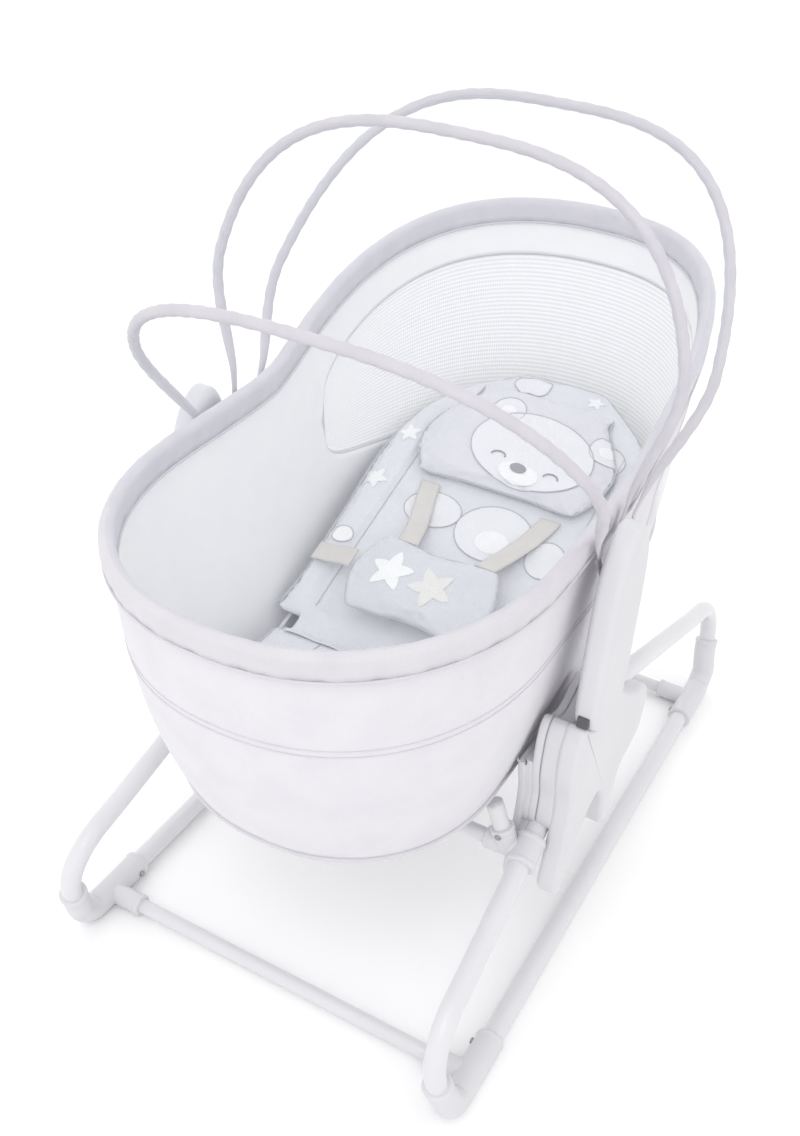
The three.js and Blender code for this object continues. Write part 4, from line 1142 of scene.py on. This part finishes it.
def pad_edge(name, tree, way, up, half_width, length, body):
    """Corded piping round a pad: out along one side, across its end and back, drawn onto the
    pad's edge halfway down its thickness. half_width(u) and length shape the pad."""
    u = np.linspace(0.03, 1, 60)
    half = half_width(u)
    side = np.stack([half, 0.009 + (length - 0.009) * u], 1)
    end = np.linspace(half[-1], -half[-1], 20)[1:-1]
    loop = np.vstack([side, np.stack([end, 0 * end + length], 1), (side * [-1, 1])[::-1]])
    middle = HIP + loop[:, :1] * [1, 0, 0] + loop[:, 1:] * way - 0.008 * up
    hits = [tree.find_nearest(Vector(point)) for point in middle]
    line = np.array([tuple(hit[0] + hit[1] * 0.0004) for hit in hits])
    for _ in range(4):
        line[1:-1] = (line[:-2] + 2 * line[1:-1] + line[2:]) / 4
    cord = round_rod(name, line, tuple(up), 0.0018, edge_thread, False, 8)
    belong(cord, body, "seat_fabric")


def head_round(u):
    """Half the back's width along it: widening a little, then drawn in to a rounded head."""
    return 0.166 + 0.022 * u - 0.128 * np.maximum(0, (u - 0.5) / 0.5) ** 2.8


def foot_round(u):
    """Half the seat's width along it: narrowing a little, then drawn in to a rounded foot."""
    return 0.150 - 0.028 * u - 0.062 * np.maximum(0, (u - 0.5) / 0.5) ** 2.4


seat_up = np.array([0, math.sin(RISE), math.cos(RISE)])
pad_edge("back_piping", back_tree, back_way, back_up, head_round, 0.462, "seat_back")
pad_edge("seat_piping", seat_tree, seat_way, seat_up, foot_round, 0.236, "basket")
PANEL = np.array([0, -0.112 + MIDDLE, 0.336])
PANEL_TILT = math.radians(22)
panel_way = np.array([0, math.cos(PANEL_TILT), math.sin(PANEL_TILT)])
panel_up = np.array([0, -panel_way[2], panel_way[1]])


def closed_cord(name, tree, start, way, up, half_width, length):
    """Corded piping all round a small pad that starts at a place and runs along way."""
    u = np.linspace(0, 1, 30)
    side = np.stack([half_width(u), length * u], 1)
    loop = np.vstack([side, (side * [-1, 1])[::-1], side[:1]])
    run = np.concatenate([[0], np.cumsum(np.linalg.norm(np.diff(loop, axis=0), axis=1))])
    at = np.linspace(0, run[-1], 141)[:-1]
    x, d = (np.interp(at, run, loop[:, k])[:, None] for k in (0, 1))
    middle = start + x * [1, 0, 0] + d * way
    hits = [tree.find_nearest(Vector(point)) for point in middle]
    line = np.array([tuple(hit[0] + hit[1] * 0.0003) for hit in hits])
    for _ in range(5):
        line = (np.roll(line, 1, 0) + 2 * line + np.roll(line, -1, 0)) / 4
    cord = round_rod(name, line, tuple(up), 0.0013, edge_thread, True, 8)
    belong(cord, "seat_back", "seat_fabric")


closed_cord(
    "panel_piping", panel_tree, PANEL + 0.001 * panel_up, panel_way, panel_up,
    lambda u: 0.058 + 0.032 * np.sin(math.pi * (0.15 + 0.7 * u)), 0.105,
)
closed_cord(
    "pillow_piping", pillow_tree, HIP + 0.244 * back_way + 0.008 * back_up, back_way, back_up,
    lambda u: 0.092 + 0.038 * np.sin(math.pi * np.minimum(1, u + 0.12)), 0.168,
)

# A gusset of the same cotton closes the fold between the seat and the back.
x = np.linspace(-0.128, 0.128, 40)
on_seat = [HIP + d * seat_way + h * seat_up for d, h in
           ((0.020, -0.0015), (0.012, -0.0035), (0.003, -0.0075))]
on_back = [HIP + d * back_way + h * back_up for d, h in
           ((0.006, -0.0075), (0.016, -0.0035), (0.024, -0.0015))]
rows = smooth_line(np.array(on_seat + on_back), 16)
sheet = rows[:, None] + x[None, :, None] * np.array([1.0, 0, 0])
sheet[..., 2] += 0.0006 * np.sin(x * 160)[None]
gusset = mesh_object("hip_gusset", [(sheet, False, False, False)], seat_cotton)
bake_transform(gusset)

# A row of stitching lies in each long seam of the back and of the seat.
for side, x_sign in SIDES.items():
    for name, across, d, way, up, tree, body in (
        ("back", BOLSTER, np.linspace(0.03, 0.36, 50), back_way, back_up, back_tree, "seat_back"),
        ("seat", QUILT, np.linspace(0.02, 0.22, 40), seat_way, seat_up, seat_tree, "basket"),
    ):
        points = HIP + [x_sign * across, 0, 0] + d[:, None] * way + up * 0.05
        line = laid_on([tree], points, -up, 0.0003)
        sewn_line(f"{name}_seam_{side}", line, 0.0007, edge_thread, body)

# ---- Harness straps: beige polyester webbing, 25 mm wide ----
# Two shoulder straps come out under the pillow and run down into the padded panel, and a
# waist strap on each side of it runs out to the edge of the back cushion.
WEB_WIDE, WEB_TOP, WEB_CROWN, WEB_UNDER = 0.025, 0.0019, 0.0005, 0.0004
webbing = woven("beige_polyester_webbing", "#e4e0da", "#d3cfc8", 0.0022, 0.5, 0.6)


def web(name, node, route, across):
    """A flat strap along a route of (across, up the back, height above it), with its width
    along the given direction. Its top is crowned a little between its edges."""
    line = smooth_line(np.array(route), 40)
    centre = HIP + line[:, :1] * [1, 0, 0] + line[:, 1:2] * back_way + line[:, 2:] * back_up
    half = np.linspace(-WEB_WIDE / 2, WEB_WIDE / 2, 9)
    crown = WEB_CROWN * np.cos(half * math.pi / WEB_WIDE)
    top = centre[:, None] + half[None, :, None] * across
    upper = top + (WEB_TOP + crown)[None, :, None] * back_up
    both = np.concatenate([upper, (top + WEB_UNDER * back_up)[:, ::-1]], 1)
    belong(mesh_object(name, [(both, False, True, True)], webbing), "seat_back", "webbing", node)


SHOULDER = np.array([(0.078, 0.238, 0.0012), (0.070, 0.206, 0.003), (0.058, 0.168, 0.011),
                     (0.048, 0.130, 0.026)])
WAIST = np.array([(0.092, 0.084, 0.031), (0.110, 0.087, 0.024), (0.132, 0.091, 0.012),
                  (0.154, 0.095, 0.003)])
for side, x_sign in SIDES.items():
    for name, route, across in (("shoulder", SHOULDER, np.array([1.0, 0, 0])),
                                ("waist", WAIST, back_way)):
        web(f"{name}_web_{side}", f"{name}_strap_{side}", route * [x_sign, 1, 1], across)
